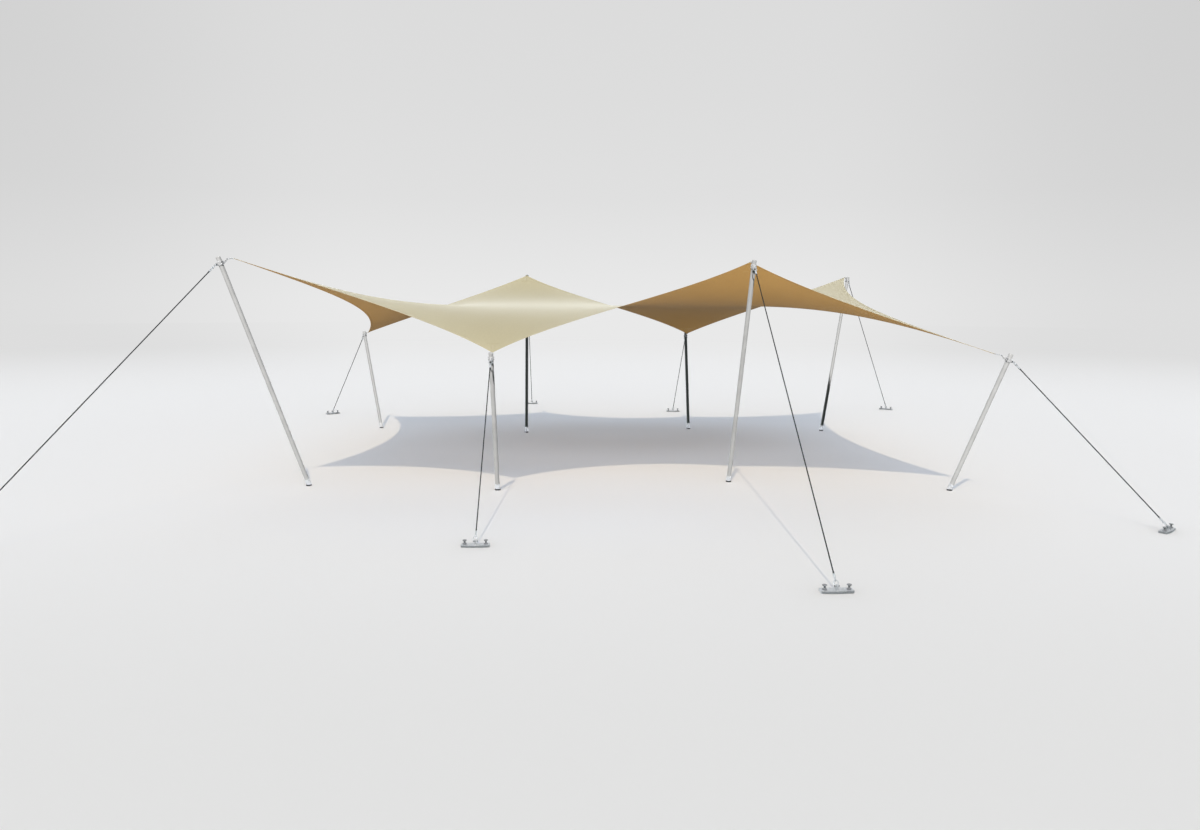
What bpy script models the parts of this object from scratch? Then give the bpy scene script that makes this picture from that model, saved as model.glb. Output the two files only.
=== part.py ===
"""Stretch tent: one tensioned membrane on eight leaning poles, each held by a guy rope and a pegged plate.

Metres, +Z up, X along the long side of the tent, Y across it.
The origin is on the ground at the centre of the tent, which looks the same after half a turn about Z.
"""
import math

import bmesh
import bpy
import numpy as np
from mathutils import Matrix, Vector

# Layout of the four stations along the front edge; the back edge is the same after half a turn.
# Each has the pole top's x and y, the pole top's height, the compass direction in which the pole leans
# out and its rope runs, and the rope's angle from the vertical, in degrees.
HIGH_TOP = 4.0
LOW_TOP = 2.49
FRONT_STATIONS = {
    "left": (-6.50, -4.31, HIGH_TOP, 232.0, 44.5),
    "mid_left": (-2.16, -4.42, LOW_TOP, 270.5, 44.5),
    "mid_right": (2.12, -4.31, HIGH_TOP, 272.0, 47.5),
    "right": (6.48, -4.28, LOW_TOP, 308.0, 44.5),
}
POLE_LEAN = 20.0                    # degrees from the vertical
GAP = 0.0003                        # between pieces that touch

# Membrane
MEMBRANE_THICKNESS = 0.004
BAY_CELLS = 10                      # grid cells along each of the three bays
CROSS_CELLS = 20                    # grid cells across the tent
END_EDGE_PULL = 1.07                # force in the hem, as a share of the force in the whole cloth
BAY_EDGE_PULLS = (0.88, 0.50, 1.30)  # the same for the three bays of the front edge, left to right
CROSS_PULL = 1.04                   # cloth force across the tent over that along it

# Pole, a round tube that is open at both ends
POLE_RADIUS = 0.038
POLE_WALL = 0.003
POLE_SIDES = 20

# Foot: a moulded sleeve round the pole's end, cut level, on a flat rubber pad
PAD_RADIUS = 0.058
PAD_HEIGHT = 0.024
PAD_BEVEL = 0.006
SLEEVE_RADIUS = 0.047
SLEEVE_FLOOR = 0.052                # along the pole's axis, from where it meets the ground
SLEEVE_TOP = 0.135
SLEEVE_LIP = 0.004

# Head collar with the arm that holds the membrane's corner and the eye for the rope
COLLAR_DROP = 0.10                  # from the pole's upper end to the arm's middle line
COLLAR_HEIGHT = 0.07
COLLAR_WALL = 0.007
ARM_REACH = 0.24                    # from the pole's axis to the membrane's corner
ARM_ROOT_HEIGHT = 0.056
ARM_END_HEIGHT = 0.026
ARM_THICKNESS = 0.014
EYE_REACH = 0.080                   # from the pole's axis to the middle of the eye
EYE_RADIUS = 0.022
LUG_THICKNESS = 0.012

# Rope and the bow shackle at each of its ends
ROPE_RADIUS = 0.009
ROPE_SIDES = 8
TERMINAL_RADIUS = 0.013
TERMINAL_LENGTH = 0.12
PIN_RADIUS = 0.008
PIN_LENGTH = 0.062
PIN_SIDES = 12
SHACKLE_BAR = 0.006
SHACKLE_JAW = 0.017                 # half the distance between the middle lines of the legs
SHACKLE_BOW = 0.027                 # radius of the bow's middle line
SHACKLE_RISE = 0.050                # from the pin to the middle of the bow

# Ground plate: a channel with its flanges down, two pegs and a lug for the shackle
PLATE_LENGTH = 0.39
PLATE_WIDTH = 0.13
PLATE_HEIGHT = 0.034
PLATE_WALL = 0.008
PLATE_CHAMFER = 0.005
PEG_SPACING = 0.29
PEG_SIDES = 12
PEG_FLANGE = 0.0285
PEG_WAIST = 0.013
PEG_HEIGHT = 0.060
LUG_HOLE_HEIGHT = 0.072
LUG_HALF_BASE = 0.045

MATERIALS = {
    "membrane": ((0.64, 0.56, 0.40), 0.85, 0.0),
    "pole": ((0.66, 0.66, 0.66), 0.38, 0.9),
    "collar": ((0.55, 0.56, 0.57), 0.42, 0.9),
    "sleeve": ((0.83, 0.83, 0.82), 0.5, 0.0),
    "pad": ((0.045, 0.046, 0.05), 0.8, 0.0),
    "rope": ((0.10, 0.11, 0.12), 0.75, 0.0),
    "plate": ((0.50, 0.51, 0.52), 0.45, 0.9),
}

for old in list(bpy.data.objects):
    bpy.data.objects.remove(old, do_unlink=True)

tent = bpy.data.collections.new("stretch_tent")
cutters = bpy.data.collections.new("cutters")
for collection in (tent, cutters):
    bpy.context.scene.collection.children.link(collection)


def make_material(name):
    colour, roughness, metallic = MATERIALS[name]
    material = bpy.data.materials.new(name)
    material.use_nodes = True
    shader = material.node_tree.nodes["Principled BSDF"]
    shader.inputs["Base Color"].default_value = (*colour, 1.0)
    shader.inputs["Roughness"].default_value = roughness
    shader.inputs["Metallic"].default_value = metallic
    return material


materials = {name: make_material(name) for name in MATERIALS}


def add_object(name, mesh, material, collection=tent):
    """A new object with this mesh, which may be shared with its partner at the other end of the tent."""
    thing = bpy.data.objects.new(name, mesh)
    collection.objects.link(thing)
    if material and not mesh.materials:
        mesh.materials.append(materials[material])
    return thing


def mesh_from(bm, name):
    mesh = bpy.data.meshes.new(name)
    bmesh.ops.recalc_face_normals(bm, faces=bm.faces)
    bm.to_mesh(mesh)
    bm.free()
    return mesh


def turned(name, profile, sides, closed=False):
    """A turned solid's mesh: the profile's (radius, height) points run down its outer side."""
    count = len(profile)
    edges = [(i, i + 1) for i in range(count - 1)]
    if closed:
        edges.append((count - 1, 0))
    line = bpy.data.meshes.new(name + "_profile")
    line.from_pydata([(r, 0.0, z) for r, z in profile], edges, [])
    thing = bpy.data.objects.new(name + "_profile", line)
    cutters.objects.link(thing)
    screw = thing.modifiers.new("turn", "SCREW")
    screw.steps = sides
    screw.render_steps = sides
    screw.use_merge_vertices = True
    screw.merge_threshold = 0.00001
    return settled(thing, name)


def settled(thing, name):
    """The evaluated mesh of a construction object in its own place, which is then removed."""
    graph = bpy.context.evaluated_depsgraph_get()
    mesh = bpy.data.meshes.new_from_object(thing.evaluated_get(graph))
    mesh.transform(thing.matrix_world)
    mesh.name = name
    bpy.data.objects.remove(thing, do_unlink=True)
    bm = bmesh.new()
    bm.from_mesh(mesh)
    bmesh.ops.remove_doubles(bm, verts=bm.verts, dist=0.00001)
    bmesh.ops.recalc_face_normals(bm, faces=bm.faces)
    bm.to_mesh(mesh)
    bm.free()
    return mesh


def combined(name, first, others, operation="UNION"):
    """One mesh from the first and each of the others, by exact Booleans."""
    base = bpy.data.objects.new(name, first)
    cutters.objects.link(base)
    helpers = []
    for mesh in others:
        helper = bpy.data.objects.new(name + "_helper", mesh)
        cutters.objects.link(helper)
        helpers.append(helper)
        boolean = base.modifiers.new("join", "BOOLEAN")
        boolean.operation = operation
        boolean.solver = "EXACT"
        boolean.object = helper
    bpy.context.view_layer.update()
    mesh = settled(base, name)
    for helper in helpers:
        bpy.data.objects.remove(helper, do_unlink=True)
    return mesh


def cylinder(radius, start, end, sides):
    """A round bar's mesh between two points."""
    start = Vector(start)
    end = Vector(end)
    bm = bmesh.new()
    bmesh.ops.create_cone(bm, cap_ends=True, segments=sides, radius1=radius, radius2=radius,
                          depth=(end - start).length)
    turn = (end - start).to_track_quat("Z", "Y").to_matrix().to_4x4()
    bmesh.ops.transform(bm, matrix=Matrix.Translation((start + end) / 2) @ turn, verts=bm.verts)
    return mesh_from(bm, "bar")


def flat_plate(outline, thickness):
    """A plate's mesh from a closed outline of (x, z) points, standing in the plane y = 0."""
    curve = bpy.data.curves.new("outline", "CURVE")
    curve.dimensions = "2D"
    curve.fill_mode = "BOTH"
    curve.extrude = thickness / 2
    line = curve.splines.new("POLY")
    line.points.add(len(outline) - 1)
    line.use_cyclic_u = True
    for point, (x, z) in zip(line.points, outline):
        point.co = (x, z, 0.0, 1.0)
    thing = bpy.data.objects.new("outline", curve)
    cutters.objects.link(thing)
    thing.rotation_euler = (math.radians(90), 0.0, 0.0)
    bpy.context.view_layer.update()
    return settled(thing, "plate")


def bent_bar(points, radius):
    """A round bar's mesh along a line of points."""
    curve = bpy.data.curves.new("bar", "CURVE")
    curve.dimensions = "3D"
    curve.bevel_depth = radius
    curve.bevel_resolution = 1
    curve.use_fill_caps = True
    line = curve.splines.new("POLY")
    line.points.add(len(points) - 1)
    for point, place in zip(line.points, points):
        point.co = (*place, 1.0)
    thing = bpy.data.objects.new("bar", curve)
    cutters.objects.link(thing)
    bpy.context.view_layer.update()
    return settled(thing, "bar")


def arc(centre_x, centre_z, radius, start, end, count):
    """Points (x, z) on an arc, from one angle to another in degrees."""
    angles = [math.radians(start + (end - start) * i / count) for i in range(count + 1)]
    return [(centre_x + radius * math.cos(a), centre_z + radius * math.sin(a)) for a in angles]


# Stations

def direction(angle):
    return Vector((math.cos(math.radians(angle)), math.sin(math.radians(angle)), 0.0))


def make_station(name, x, y, height, angle, rope_angle):
    """The places that one pole, its rope and its ground plate share."""
    out = direction(angle)
    lean = math.radians(POLE_LEAN)
    foot = Vector((x, y, 0.0)) - out * height * math.tan(lean)
    anchor = Vector((x, y, 0.0)) + out * height * math.tan(math.radians(rope_angle))
    frame = (Matrix.Translation(foot) @ Matrix.Rotation(math.radians(angle), 4, "Z")
             @ Matrix.Rotation(lean, 4, "Y"))
    length = height / math.cos(lean)
    return {
        "name": name,
        "angle": angle,
        "foot": foot,
        "frame": frame,
        "length": length,
        "corner": frame @ Vector((-ARM_REACH, 0.0, length - COLLAR_DROP)),
        "eye": frame @ Vector((EYE_REACH, 0.0, length - COLLAR_DROP)),
        "plate_frame": Matrix.Translation(anchor) @ Matrix.Rotation(math.radians(angle), 4, "Z"),
        "lug": anchor + Vector((0.0, 0.0, LUG_HOLE_HEIGHT)),
    }


HALF_TURN = {"left": "right", "mid_left": "mid_right", "mid_right": "mid_left", "right": "left"}
stations = {}
for side, (x, y, height, angle, rope_angle) in FRONT_STATIONS.items():
    stations["front_" + side] = make_station("front_" + side, x, y, height, angle, rope_angle)
    back = "back_" + HALF_TURN[side]
    stations[back] = make_station(back, -x, -y, height, angle + 180.0, rope_angle)


# Membrane

def find_form(bay_cells, cross_cells):
    """The balanced shape of the cloth, a grid of points with its corners held at the eight arms.

    Every cell edge pulls in proportion to its length, and the hem's edges pull harder. The shape in
    which all these pulls balance is the answer to one set of linear equations.
    """
    columns = 3 * bay_cells + 1
    rows = cross_cells + 1
    count = columns * rows
    system = np.zeros((count, count))

    def pull(a, b, strength):
        system[a, a] += strength
        system[b, b] += strength
        system[a, b] -= strength
        system[b, a] -= strength

    def index(i, j):
        return i * rows + j

    for i in range(columns - 1):
        bay = i // bay_cells
        for j in range(rows):
            strength = 1.0
            if j == 0:
                strength = 0.5 + BAY_EDGE_PULLS[bay] * bay_cells
            elif j == rows - 1:
                strength = 0.5 + BAY_EDGE_PULLS[2 - bay] * bay_cells
            pull(index(i, j), index(i + 1, j), strength)
    for i in range(columns):
        on_end = i in (0, columns - 1)
        strength = 0.5 * CROSS_PULL + END_EDGE_PULL * cross_cells if on_end else CROSS_PULL
        for j in range(rows - 1):
            pull(index(i, j), index(i, j + 1), strength)

    held = {}
    for bay_end, side in enumerate(("left", "mid_left", "mid_right", "right")):
        held[index(bay_end * bay_cells, 0)] = stations["front_" + side]["corner"]
        held[index(bay_end * bay_cells, rows - 1)] = stations["back_" + side]["corner"]
    fixed = np.array(sorted(held))
    free = np.setdiff1d(np.arange(count), fixed)
    points = np.zeros((count, 3))
    points[fixed] = np.array([held[k][:] for k in fixed])
    load = -system[np.ix_(free, fixed)] @ points[fixed]
    points[free] = np.linalg.solve(system[np.ix_(free, free)], load)
    return points.reshape(columns, rows, 3)


def build_membrane():
    form = find_form(BAY_CELLS, CROSS_CELLS)
    columns, rows = form.shape[:2]
    bm = bmesh.new()
    bmesh.ops.create_grid(bm, x_segments=columns - 1, y_segments=rows - 1, size=1.0)
    for vertex in bm.verts:
        i = round((vertex.co.x + 1.0) / 2.0 * (columns - 1))
        j = round((vertex.co.y + 1.0) / 2.0 * (rows - 1))
        vertex.co = form[i, j]
    bmesh.ops.triangulate(bm, faces=bm.faces, quad_method="SHORT_EDGE")
    mesh = mesh_from(bm, "membrane")
    if mesh.polygons[0].normal.z < 0.0:
        mesh.flip_normals()
    membrane = add_object("membrane", mesh, "membrane")
    shell = membrane.modifiers.new("cloth", "SOLIDIFY")
    shell.thickness = MEMBRANE_THICKNESS
    shell.offset = 0.0
    return membrane


membrane = build_membrane()
bpy.context.view_layer.update()
cloth = bpy.data.meshes.new_from_object(membrane.evaluated_get(bpy.context.evaluated_depsgraph_get()))
cloth_points = [vertex.co.copy() for vertex in cloth.vertices]
bpy.data.meshes.remove(cloth)


def arm_end(station):
    """Where the arm stops, just short of the cloth's corner, as a distance from the pole's axis."""
    to_pole = station["frame"].inverted()
    near = [p for p in cloth_points if (p - station["corner"]).length < 2 * MEMBRANE_THICKNESS]
    return -max((to_pole @ p).x for p in near) - GAP


# Shared meshes, each made in its own frame

def pole_mesh(length):
    inner = POLE_RADIUS - POLE_WALL
    bottom = SLEEVE_FLOOR + GAP
    profile = [(inner, length), (POLE_RADIUS, length), (POLE_RADIUS, bottom), (inner, bottom)]
    return turned("pole", profile, POLE_SIDES, closed=True)


def sleeve_mesh():
    bore = POLE_RADIUS + GAP
    profile = [(0.0, SLEEVE_FLOOR), (bore, SLEEVE_FLOOR), (bore, SLEEVE_TOP),
               (SLEEVE_RADIUS - SLEEVE_LIP, SLEEVE_TOP), (SLEEVE_RADIUS, SLEEVE_TOP - SLEEVE_LIP),
               (SLEEVE_RADIUS, -SLEEVE_RADIUS), (0.0, -SLEEVE_RADIUS)]
    return turned("foot_sleeve", profile, POLE_SIDES)


def pad_mesh():
    profile = [(0.0, PAD_HEIGHT), (PAD_RADIUS - PAD_BEVEL, PAD_HEIGHT),
               (PAD_RADIUS, PAD_HEIGHT - PAD_BEVEL), (PAD_RADIUS, 0.0), (0.0, 0.0)]
    return turned("foot_pad", profile, POLE_SIDES)


def pin_hole(x, z):
    """A cutter for the hole that a shackle's pin passes through, along Y."""
    clear = (PIN_RADIUS + GAP) / math.cos(math.pi / PIN_SIDES)
    return cylinder(clear, (x, -LUG_THICKNESS, z), (x, LUG_THICKNESS, z), PIN_SIDES)


def collar_mesh(reach):
    """The collar round the pole, with its middle at the origin; the arm points to -X, the eye to +X."""
    bore = POLE_RADIUS + GAP
    outer = bore + COLLAR_WALL
    half = COLLAR_HEIGHT / 2
    ring = turned("ring", [(bore, half), (outer, half), (outer, -half), (bore, -half)], POLE_SIDES,
                  closed=True)
    root = bore + COLLAR_WALL / 2
    arm = flat_plate([(-root, ARM_ROOT_HEIGHT / 2), (-reach, ARM_END_HEIGHT / 2),
                      (-reach, -ARM_END_HEIGHT / 2), (-root, -ARM_ROOT_HEIGHT / 2)], ARM_THICKNESS)
    eye = flat_plate([(root, -ARM_ROOT_HEIGHT / 2)] + arc(EYE_REACH, 0.0, EYE_RADIUS, -75, 75, 6)
                     + [(root, ARM_ROOT_HEIGHT / 2)], LUG_THICKNESS)
    solid = combined("collar", ring, [arm, eye])
    return combined("head_collar", solid, [pin_hole(EYE_REACH, 0.0)], "DIFFERENCE")


def shackle_meshes(z, up):
    """A bow shackle's parts on the rope's line: its pin is at height z, and its bow points up or down."""
    bend = arc(0.0, SHACKLE_RISE, SHACKLE_BOW, -35, 215, 8)
    legs = [(SHACKLE_JAW, -PIN_RADIUS)] + bend + [(-SHACKLE_JAW, -PIN_RADIUS)]
    bow = bent_bar([(0.0, y, z + up * height) for y, height in legs], SHACKLE_BAR)
    pin = cylinder(PIN_RADIUS, (0.0, -PIN_LENGTH / 2, z), (0.0, PIN_LENGTH / 2, z), PIN_SIDES)
    start = z + up * (SHACKLE_RISE + SHACKLE_BOW - SHACKLE_BAR / 2)
    terminal = cylinder(TERMINAL_RADIUS, (0.0, 0.0, start), (0.0, 0.0, start + up * TERMINAL_LENGTH),
                        ROPE_SIDES)
    return [bow, pin, terminal]


def guy_mesh(length):
    """Rope and end fittings along +Z, from the lower pin at the origin to the upper one."""
    inset = SHACKLE_RISE + SHACKLE_BOW + TERMINAL_LENGTH / 2
    rope = cylinder(ROPE_RADIUS, (0.0, 0.0, inset), (0.0, 0.0, length - inset), ROPE_SIDES)
    return combined("guy_rope", rope, shackle_meshes(0.0, 1) + shackle_meshes(length, -1))


def plate_mesh():
    """The ground plate in its own frame: X points away from the tent, Y along the plate."""
    half_width = PLATE_WIDTH / 2
    web = PLATE_HEIGHT - PLATE_WALL
    shoulder = PLATE_HEIGHT - PLATE_CHAMFER
    section = [(-half_width, 0.0), (-half_width, shoulder), (-half_width + PLATE_CHAMFER, PLATE_HEIGHT),
               (half_width - PLATE_CHAMFER, PLATE_HEIGHT), (half_width, shoulder), (half_width, 0.0),
               (half_width - PLATE_WALL, 0.0), (half_width - PLATE_WALL, web),
               (-half_width + PLATE_WALL, web), (-half_width + PLATE_WALL, 0.0)]
    channel = flat_plate(section, PLATE_LENGTH)
    base = PLATE_HEIGHT - PLATE_WALL / 2
    top = PLATE_HEIGHT + PEG_HEIGHT
    third = PEG_HEIGHT / 3
    profile = [(0.0, top), (PEG_FLANGE, top), (PEG_FLANGE, top - third / 2), (PEG_WAIST, top - third),
               (PEG_WAIST, top - 2 * third), (PEG_FLANGE, top - 2.5 * third), (PEG_FLANGE, base),
               (0.0, base)]
    pegs = []
    for side in (-1, 1):
        peg = turned("peg", profile, PEG_SIDES)
        peg.transform(Matrix.Translation((0.0, side * PEG_SPACING / 2, 0.0)))
        pegs.append(peg)
    lug = flat_plate([(-LUG_HALF_BASE, base), (LUG_HALF_BASE, base)]
                     + arc(0.0, LUG_HOLE_HEIGHT, EYE_RADIUS, 10, 170, 6), LUG_THICKNESS)
    solid = combined("plate", channel, pegs + [lug])
    return combined("ground_plate", solid, [pin_hole(0.0, LUG_HOLE_HEIGHT)], "DIFFERENCE")


# Everything below the rubber pads' upper faces is cut from the leaning sleeves
level = bmesh.new()
bmesh.ops.create_cube(level, size=1.0)
LEVEL_SPAN = 20.0
bmesh.ops.scale(level, vec=(LEVEL_SPAN, LEVEL_SPAN, 1.0), verts=level.verts)
bmesh.ops.translate(level, vec=(0.0, 0.0, PAD_HEIGHT + GAP - 0.5), verts=level.verts)
level_cutter = add_object("level_cutter", mesh_from(level, "level_cutter"), None, cutters)
level_cutter.hide_render = True
level_cutter.display_type = "WIRE"

sleeve = sleeve_mesh()
pad = pad_mesh()
ground_plate = plate_mesh()
poles = {}
for height in (HIGH_TOP, LOW_TOP):
    poles[height] = pole_mesh(height / math.cos(math.radians(POLE_LEAN)))


def smooth(thing):
    thing.data.shade_smooth()
    thing.data.set_sharp_from_angle(angle=math.radians(35))


def build_pair(side):
    """The pieces of one front station and of its partner half a turn away."""
    height = FRONT_STATIONS[side][2]
    front = stations["front_" + side]
    rope_line = front["eye"] - front["lug"]
    guy = guy_mesh(rope_line.length)
    steep = math.atan2(math.hypot(rope_line.x, rope_line.y), rope_line.z)
    for name in ("front_" + side, "back_" + HALF_TURN[side]):
        station = stations[name]
        frame = station["frame"]

        pole = add_object("pole_" + name, poles[height], "pole")
        pole.matrix_world = frame

        foot = add_object("foot_sleeve_" + name, sleeve, "sleeve")
        foot.matrix_world = frame
        cut = foot.modifiers.new("level_cut", "BOOLEAN")
        cut.operation = "DIFFERENCE"
        cut.solver = "EXACT"
        cut.object = level_cutter

        rubber = add_object("foot_pad_" + name, pad, "pad")
        shift = PAD_HEIGHT * math.tan(math.radians(POLE_LEAN))
        rubber.location = station["foot"] + direction(station["angle"]) * shift

        collar = add_object("head_collar_" + name, collar_mesh(arm_end(station)), "collar")
        collar.matrix_world = frame @ Matrix.Translation((0.0, 0.0, station["length"] - COLLAR_DROP))

        rope = add_object("guy_rope_" + name, guy, "rope")
        rope.matrix_world = (Matrix.Translation(station["lug"])
                             @ Matrix.Rotation(math.radians(station["angle"]), 4, "Z")
                             @ Matrix.Rotation(-steep, 4, "Y"))

        plate = add_object("ground_plate_" + name, ground_plate, "plate")
        plate.matrix_world = station["plate_frame"]

        for thing in (pole, rubber, collar, rope, plate):
            smooth(thing)


for side in FRONT_STATIONS:
    build_pair(side)
bpy.context.view_layer.update()
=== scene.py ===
"""Looks of the stretch tent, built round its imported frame. Metres, +Z up, the photograph's view from -Y."""
import math

import bmesh
import bpy
import numpy as np
from mathutils import Matrix, Vector
from mathutils.bvhtree import BVHTree


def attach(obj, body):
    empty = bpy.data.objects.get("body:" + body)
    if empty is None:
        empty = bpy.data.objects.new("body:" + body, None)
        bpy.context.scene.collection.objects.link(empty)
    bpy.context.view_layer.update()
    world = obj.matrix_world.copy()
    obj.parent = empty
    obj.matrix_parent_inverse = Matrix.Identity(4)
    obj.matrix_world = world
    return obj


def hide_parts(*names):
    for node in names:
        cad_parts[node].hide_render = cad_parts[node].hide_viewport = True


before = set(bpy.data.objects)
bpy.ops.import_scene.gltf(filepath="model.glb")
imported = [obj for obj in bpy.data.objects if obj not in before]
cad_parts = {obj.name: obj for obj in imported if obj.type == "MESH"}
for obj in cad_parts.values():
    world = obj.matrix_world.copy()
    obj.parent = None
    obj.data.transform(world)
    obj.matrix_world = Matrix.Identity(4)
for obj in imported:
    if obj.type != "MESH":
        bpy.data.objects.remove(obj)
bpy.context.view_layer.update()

# Camera, worked out from the pole feet, pole tops and ground plates in the photograph, 1200 x 830
CAMERA_PLACE = (-0.717, -17.632, 3.333)
CAMERA_YAW = 1.462  # degrees, clockwise from +Y
CAMERA_PITCH = 8.007  # degrees, downwards
CAMERA_ROLL = 0.303
FOCAL_PIXELS = 810.1
PHOTO_WIDTH = 1200
SENSOR_WIDTH = 36.0
VIEW_REACH = 1000.0

# Sun and lamps
SUN_SHIFT = (0.085, 0.655)  # how far a shadow moves along X and Y for each metre of height
SUN_ANGLE = 1.0
SUN_COLOUR = (1.0, 0.84, 0.60)
SUN_STRENGTH = 1.16
GLINT_COLOUR = (1.0, 0.985, 0.96)
FITTINGS_GLINT = 1.6
POLE_SHIFT = (0.13, 1.25)  # as SUN_SHIFT, for the lamps that shine on the poles
FRONT_POLES_GLINT = 8.2
BACK_POLES_GLINT = 5.0
BOUNCE_CARDS = (  # low cards that light only the cloth: place, aim, size, spread and power
    ((0.0, -8.5, 0.05), (0.0, -7.681, 0.624), (26.0, 0.8), 180.0, 2200.0),
    ((-12.5, -5.5, 0.05), (-5.6, 3.3, 2.7), (5.0, 0.8), 40.0, 190.0),
)

# Dome, backdrop and floor; a range with two more values gives the values at its ends
SKY_LOW = (3.10, 3.37, 3.75)  # the dome near the horizon
SKY_HIGH = (0.13, 0.145, 0.165)
SKY_BREAK = (0.10, 0.45)  # sines of the elevations between which the dome darkens
SKY_SIDES = (0.3, 0.9, 0.80, 1.55)  # the dome's share of its brightness, from its middle to either side
SKY_FRONT = (-0.6, 0.6, 1.0, 1.05)  # the same from front to back
SOFTBOX_HEIGHT = 40.0  # broad soft lights in the dome, in front and behind; degrees up
SOFTBOX_EDGE = (0.75, 0.95)  # cosines of the angle from its middle
SOFTBOX_COLOUR = (1.40, 1.53, 1.71)
SOFTBOX_SHARES = (-0.3, 0.3, 0.58, 0.46)  # along Y, from the front one to the back one
HORIZON = 0.815
BACKDROP = ((0.0, HORIZON), (0.03, 0.80), (0.12, 0.745), (0.23, 0.723), (0.5, 0.70))  # sine, brightness
BACKDROP_SIDES = (0.25, 0.60, 1.0, 0.89)  # how far aside it darkens, and how much
MIRRORED_RISE = 0.35  # how far height counts towards the light end of what metal mirrors
MIRRORED_BREAK = (0.1, 0.6)
MIRRORED_DARK = (0.030, 0.042, 0.036)
MIRRORED_LIGHT = (0.80, 0.82, 0.84)
FLOOR_MIDDLE = (0.0, -8.0, -0.0005)
FLOOR_RADIUS = 120.0
FLOOR_NEAR = (0.770, 0.761, 0.748)
FLOOR_FAR = (0.848, 0.843, 0.842)
FLOOR_BREAK = (-5.0, 3.0)  # along Y from its middle, from the near colour to the far one
FLOOR_PAINTED_LIGHT_AND_SHADE = (  # painted light and shade on the floor near the tent: place from the floor's middle, reach, share of the plain paint, and tint
    ((-1.0, 3.6, 0.0), (7.5, 3.4, 1.0), (0.2, 1.0, 0.97, 1.0), (0.95, 1.4, 2.2)),   # painted light: floor made cooler and a little brighter in front of the tent, against the tent's warm shade there
    ((0.4, 10.4, 0.0), (6.8, 3.2, 1.0), (0.2, 1.0, 0.79, 1.0), (0.12, 0.06, 0.0)),  # painted shade: floor darker and warmer in the depth of the tent's shadow
)
FLOOR_FADE = (17.0, 60.0)  # how far out it turns into the backdrop

# Cloth colours
CREAM = (0.505, 0.445, 0.286)
CREAM_SHEEN = 0.22
SHEEN_TINT = (1.0, 0.95, 0.84)
TAN = (0.258, 0.149, 0.047)

# Layout, as in part.py: each pole top's place and height, the way it leans, and its rope's angle from upright
HIGH_TOP = 4.0
LOW_TOP = 2.49
FRONT_STATIONS = {
    "left": (-6.50, -4.31, HIGH_TOP, 232.0, 44.5),
    "mid_left": (-2.16, -4.42, LOW_TOP, 270.5, 44.5),
    "mid_right": (2.12, -4.31, HIGH_TOP, 272.0, 47.5),
    "right": (6.48, -4.28, LOW_TOP, 308.0, 44.5),
}
SIDES = tuple(FRONT_STATIONS)
POLE_LEAN = 20.0
GAP = 0.0003

# Poles and feet, as in part.py, but the pad's and the sleeve's radius a little less
POLE_RADIUS = 0.038
POLE_WALL = 0.003
PAD_RADIUS = 0.049
PAD_HEIGHT = 0.024
PAD_RIBS = (0.0155, 0.0115, 0.0075)
SLEEVE_RADIUS = 0.0445
SLEEVE_GROOVE = 0.0024
SLEEVE_FLOOR = 0.052
SLEEVE_TOP = 0.135
SLEEVE_BANDS = ((0.124, 0.097), (0.089, 0.086), (0.078, 0.075))
SCREW_HEIGHT = 0.1105

# Collars
COLLAR_DROP = 0.10
COLLAR_HEIGHT = 0.07
COLLAR_BORE = POLE_RADIUS + GAP
COLLAR_WALL = 0.007
COLLAR_RADIUS = COLLAR_BORE + COLLAR_WALL
COLLAR_BOLT = 0.0078
COLLAR_BOLT_RISE = 0.018
ARM_REACH = 0.24
ARM_ROOT_HEIGHT = 0.056
ARM_THICKNESS = 0.014
ARM_HOLE_RADIUS = 0.0056
HORN_REACH = 0.131  # the curved arm's hole, from the pole's axis and above the collar's middle
HORN_RISE = 0.026
HORN_BEND = (-0.098, -0.006)
HORN_END_RADIUS = 0.0135
HORN_HALF_WIDTH = 0.0095
HORN_ROOT_SWELL = 0.0185
EYE_REACH = 0.080
EYE_RADIUS = 0.022
LUG_THICKNESS = 0.012
WELD_RADIUS = 0.0028
WELD_PITCH = 0.0013
WELD_RIPPLE = 0.16

# Ropes and shackles
ROPE_RADIUS = 0.009
LAY_LENGTH = 0.058  # one turn of the rope's strands
PIN_RADIUS = 0.008
PIN_LENGTH = 0.062
PIN_HEAD = 0.0128
SHACKLE_BAR = 0.006
SHACKLE_JAW = 0.017
SHACKLE_BOW = 0.027
SHACKLE_RISE = 0.050
TERMINAL_RADIUS = 0.013
TERMINAL_LENGTH = 0.085
TERMINAL_END = SHACKLE_RISE + SHACKLE_BOW - SHACKLE_BAR / 2 + TERMINAL_LENGTH  # from its pin
TERMINAL_EYE = 0.014
TERMINAL_EYE_BAR = 0.005
WRAP_LENGTH = 0.036

# Ground plates
PLATE_LENGTH = 0.39
PLATE_WIDTH = 0.13
PLATE_HEIGHT = 0.034
PLATE_WALL = 0.008
PLATE_BOW = 0.016
PLATE_CORNER = 0.012
PLATE_EASE = 0.005
PLATE_WELD = 0.0032
PEG_SPACING = 0.29
PEG_FLANGE = 0.0285
PEG_WAIST = 0.013
PEG_HEIGHT = 0.060
LUG_HOLE_HEIGHT = 0.072
LUG_HALF_BASE = 0.045

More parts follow.
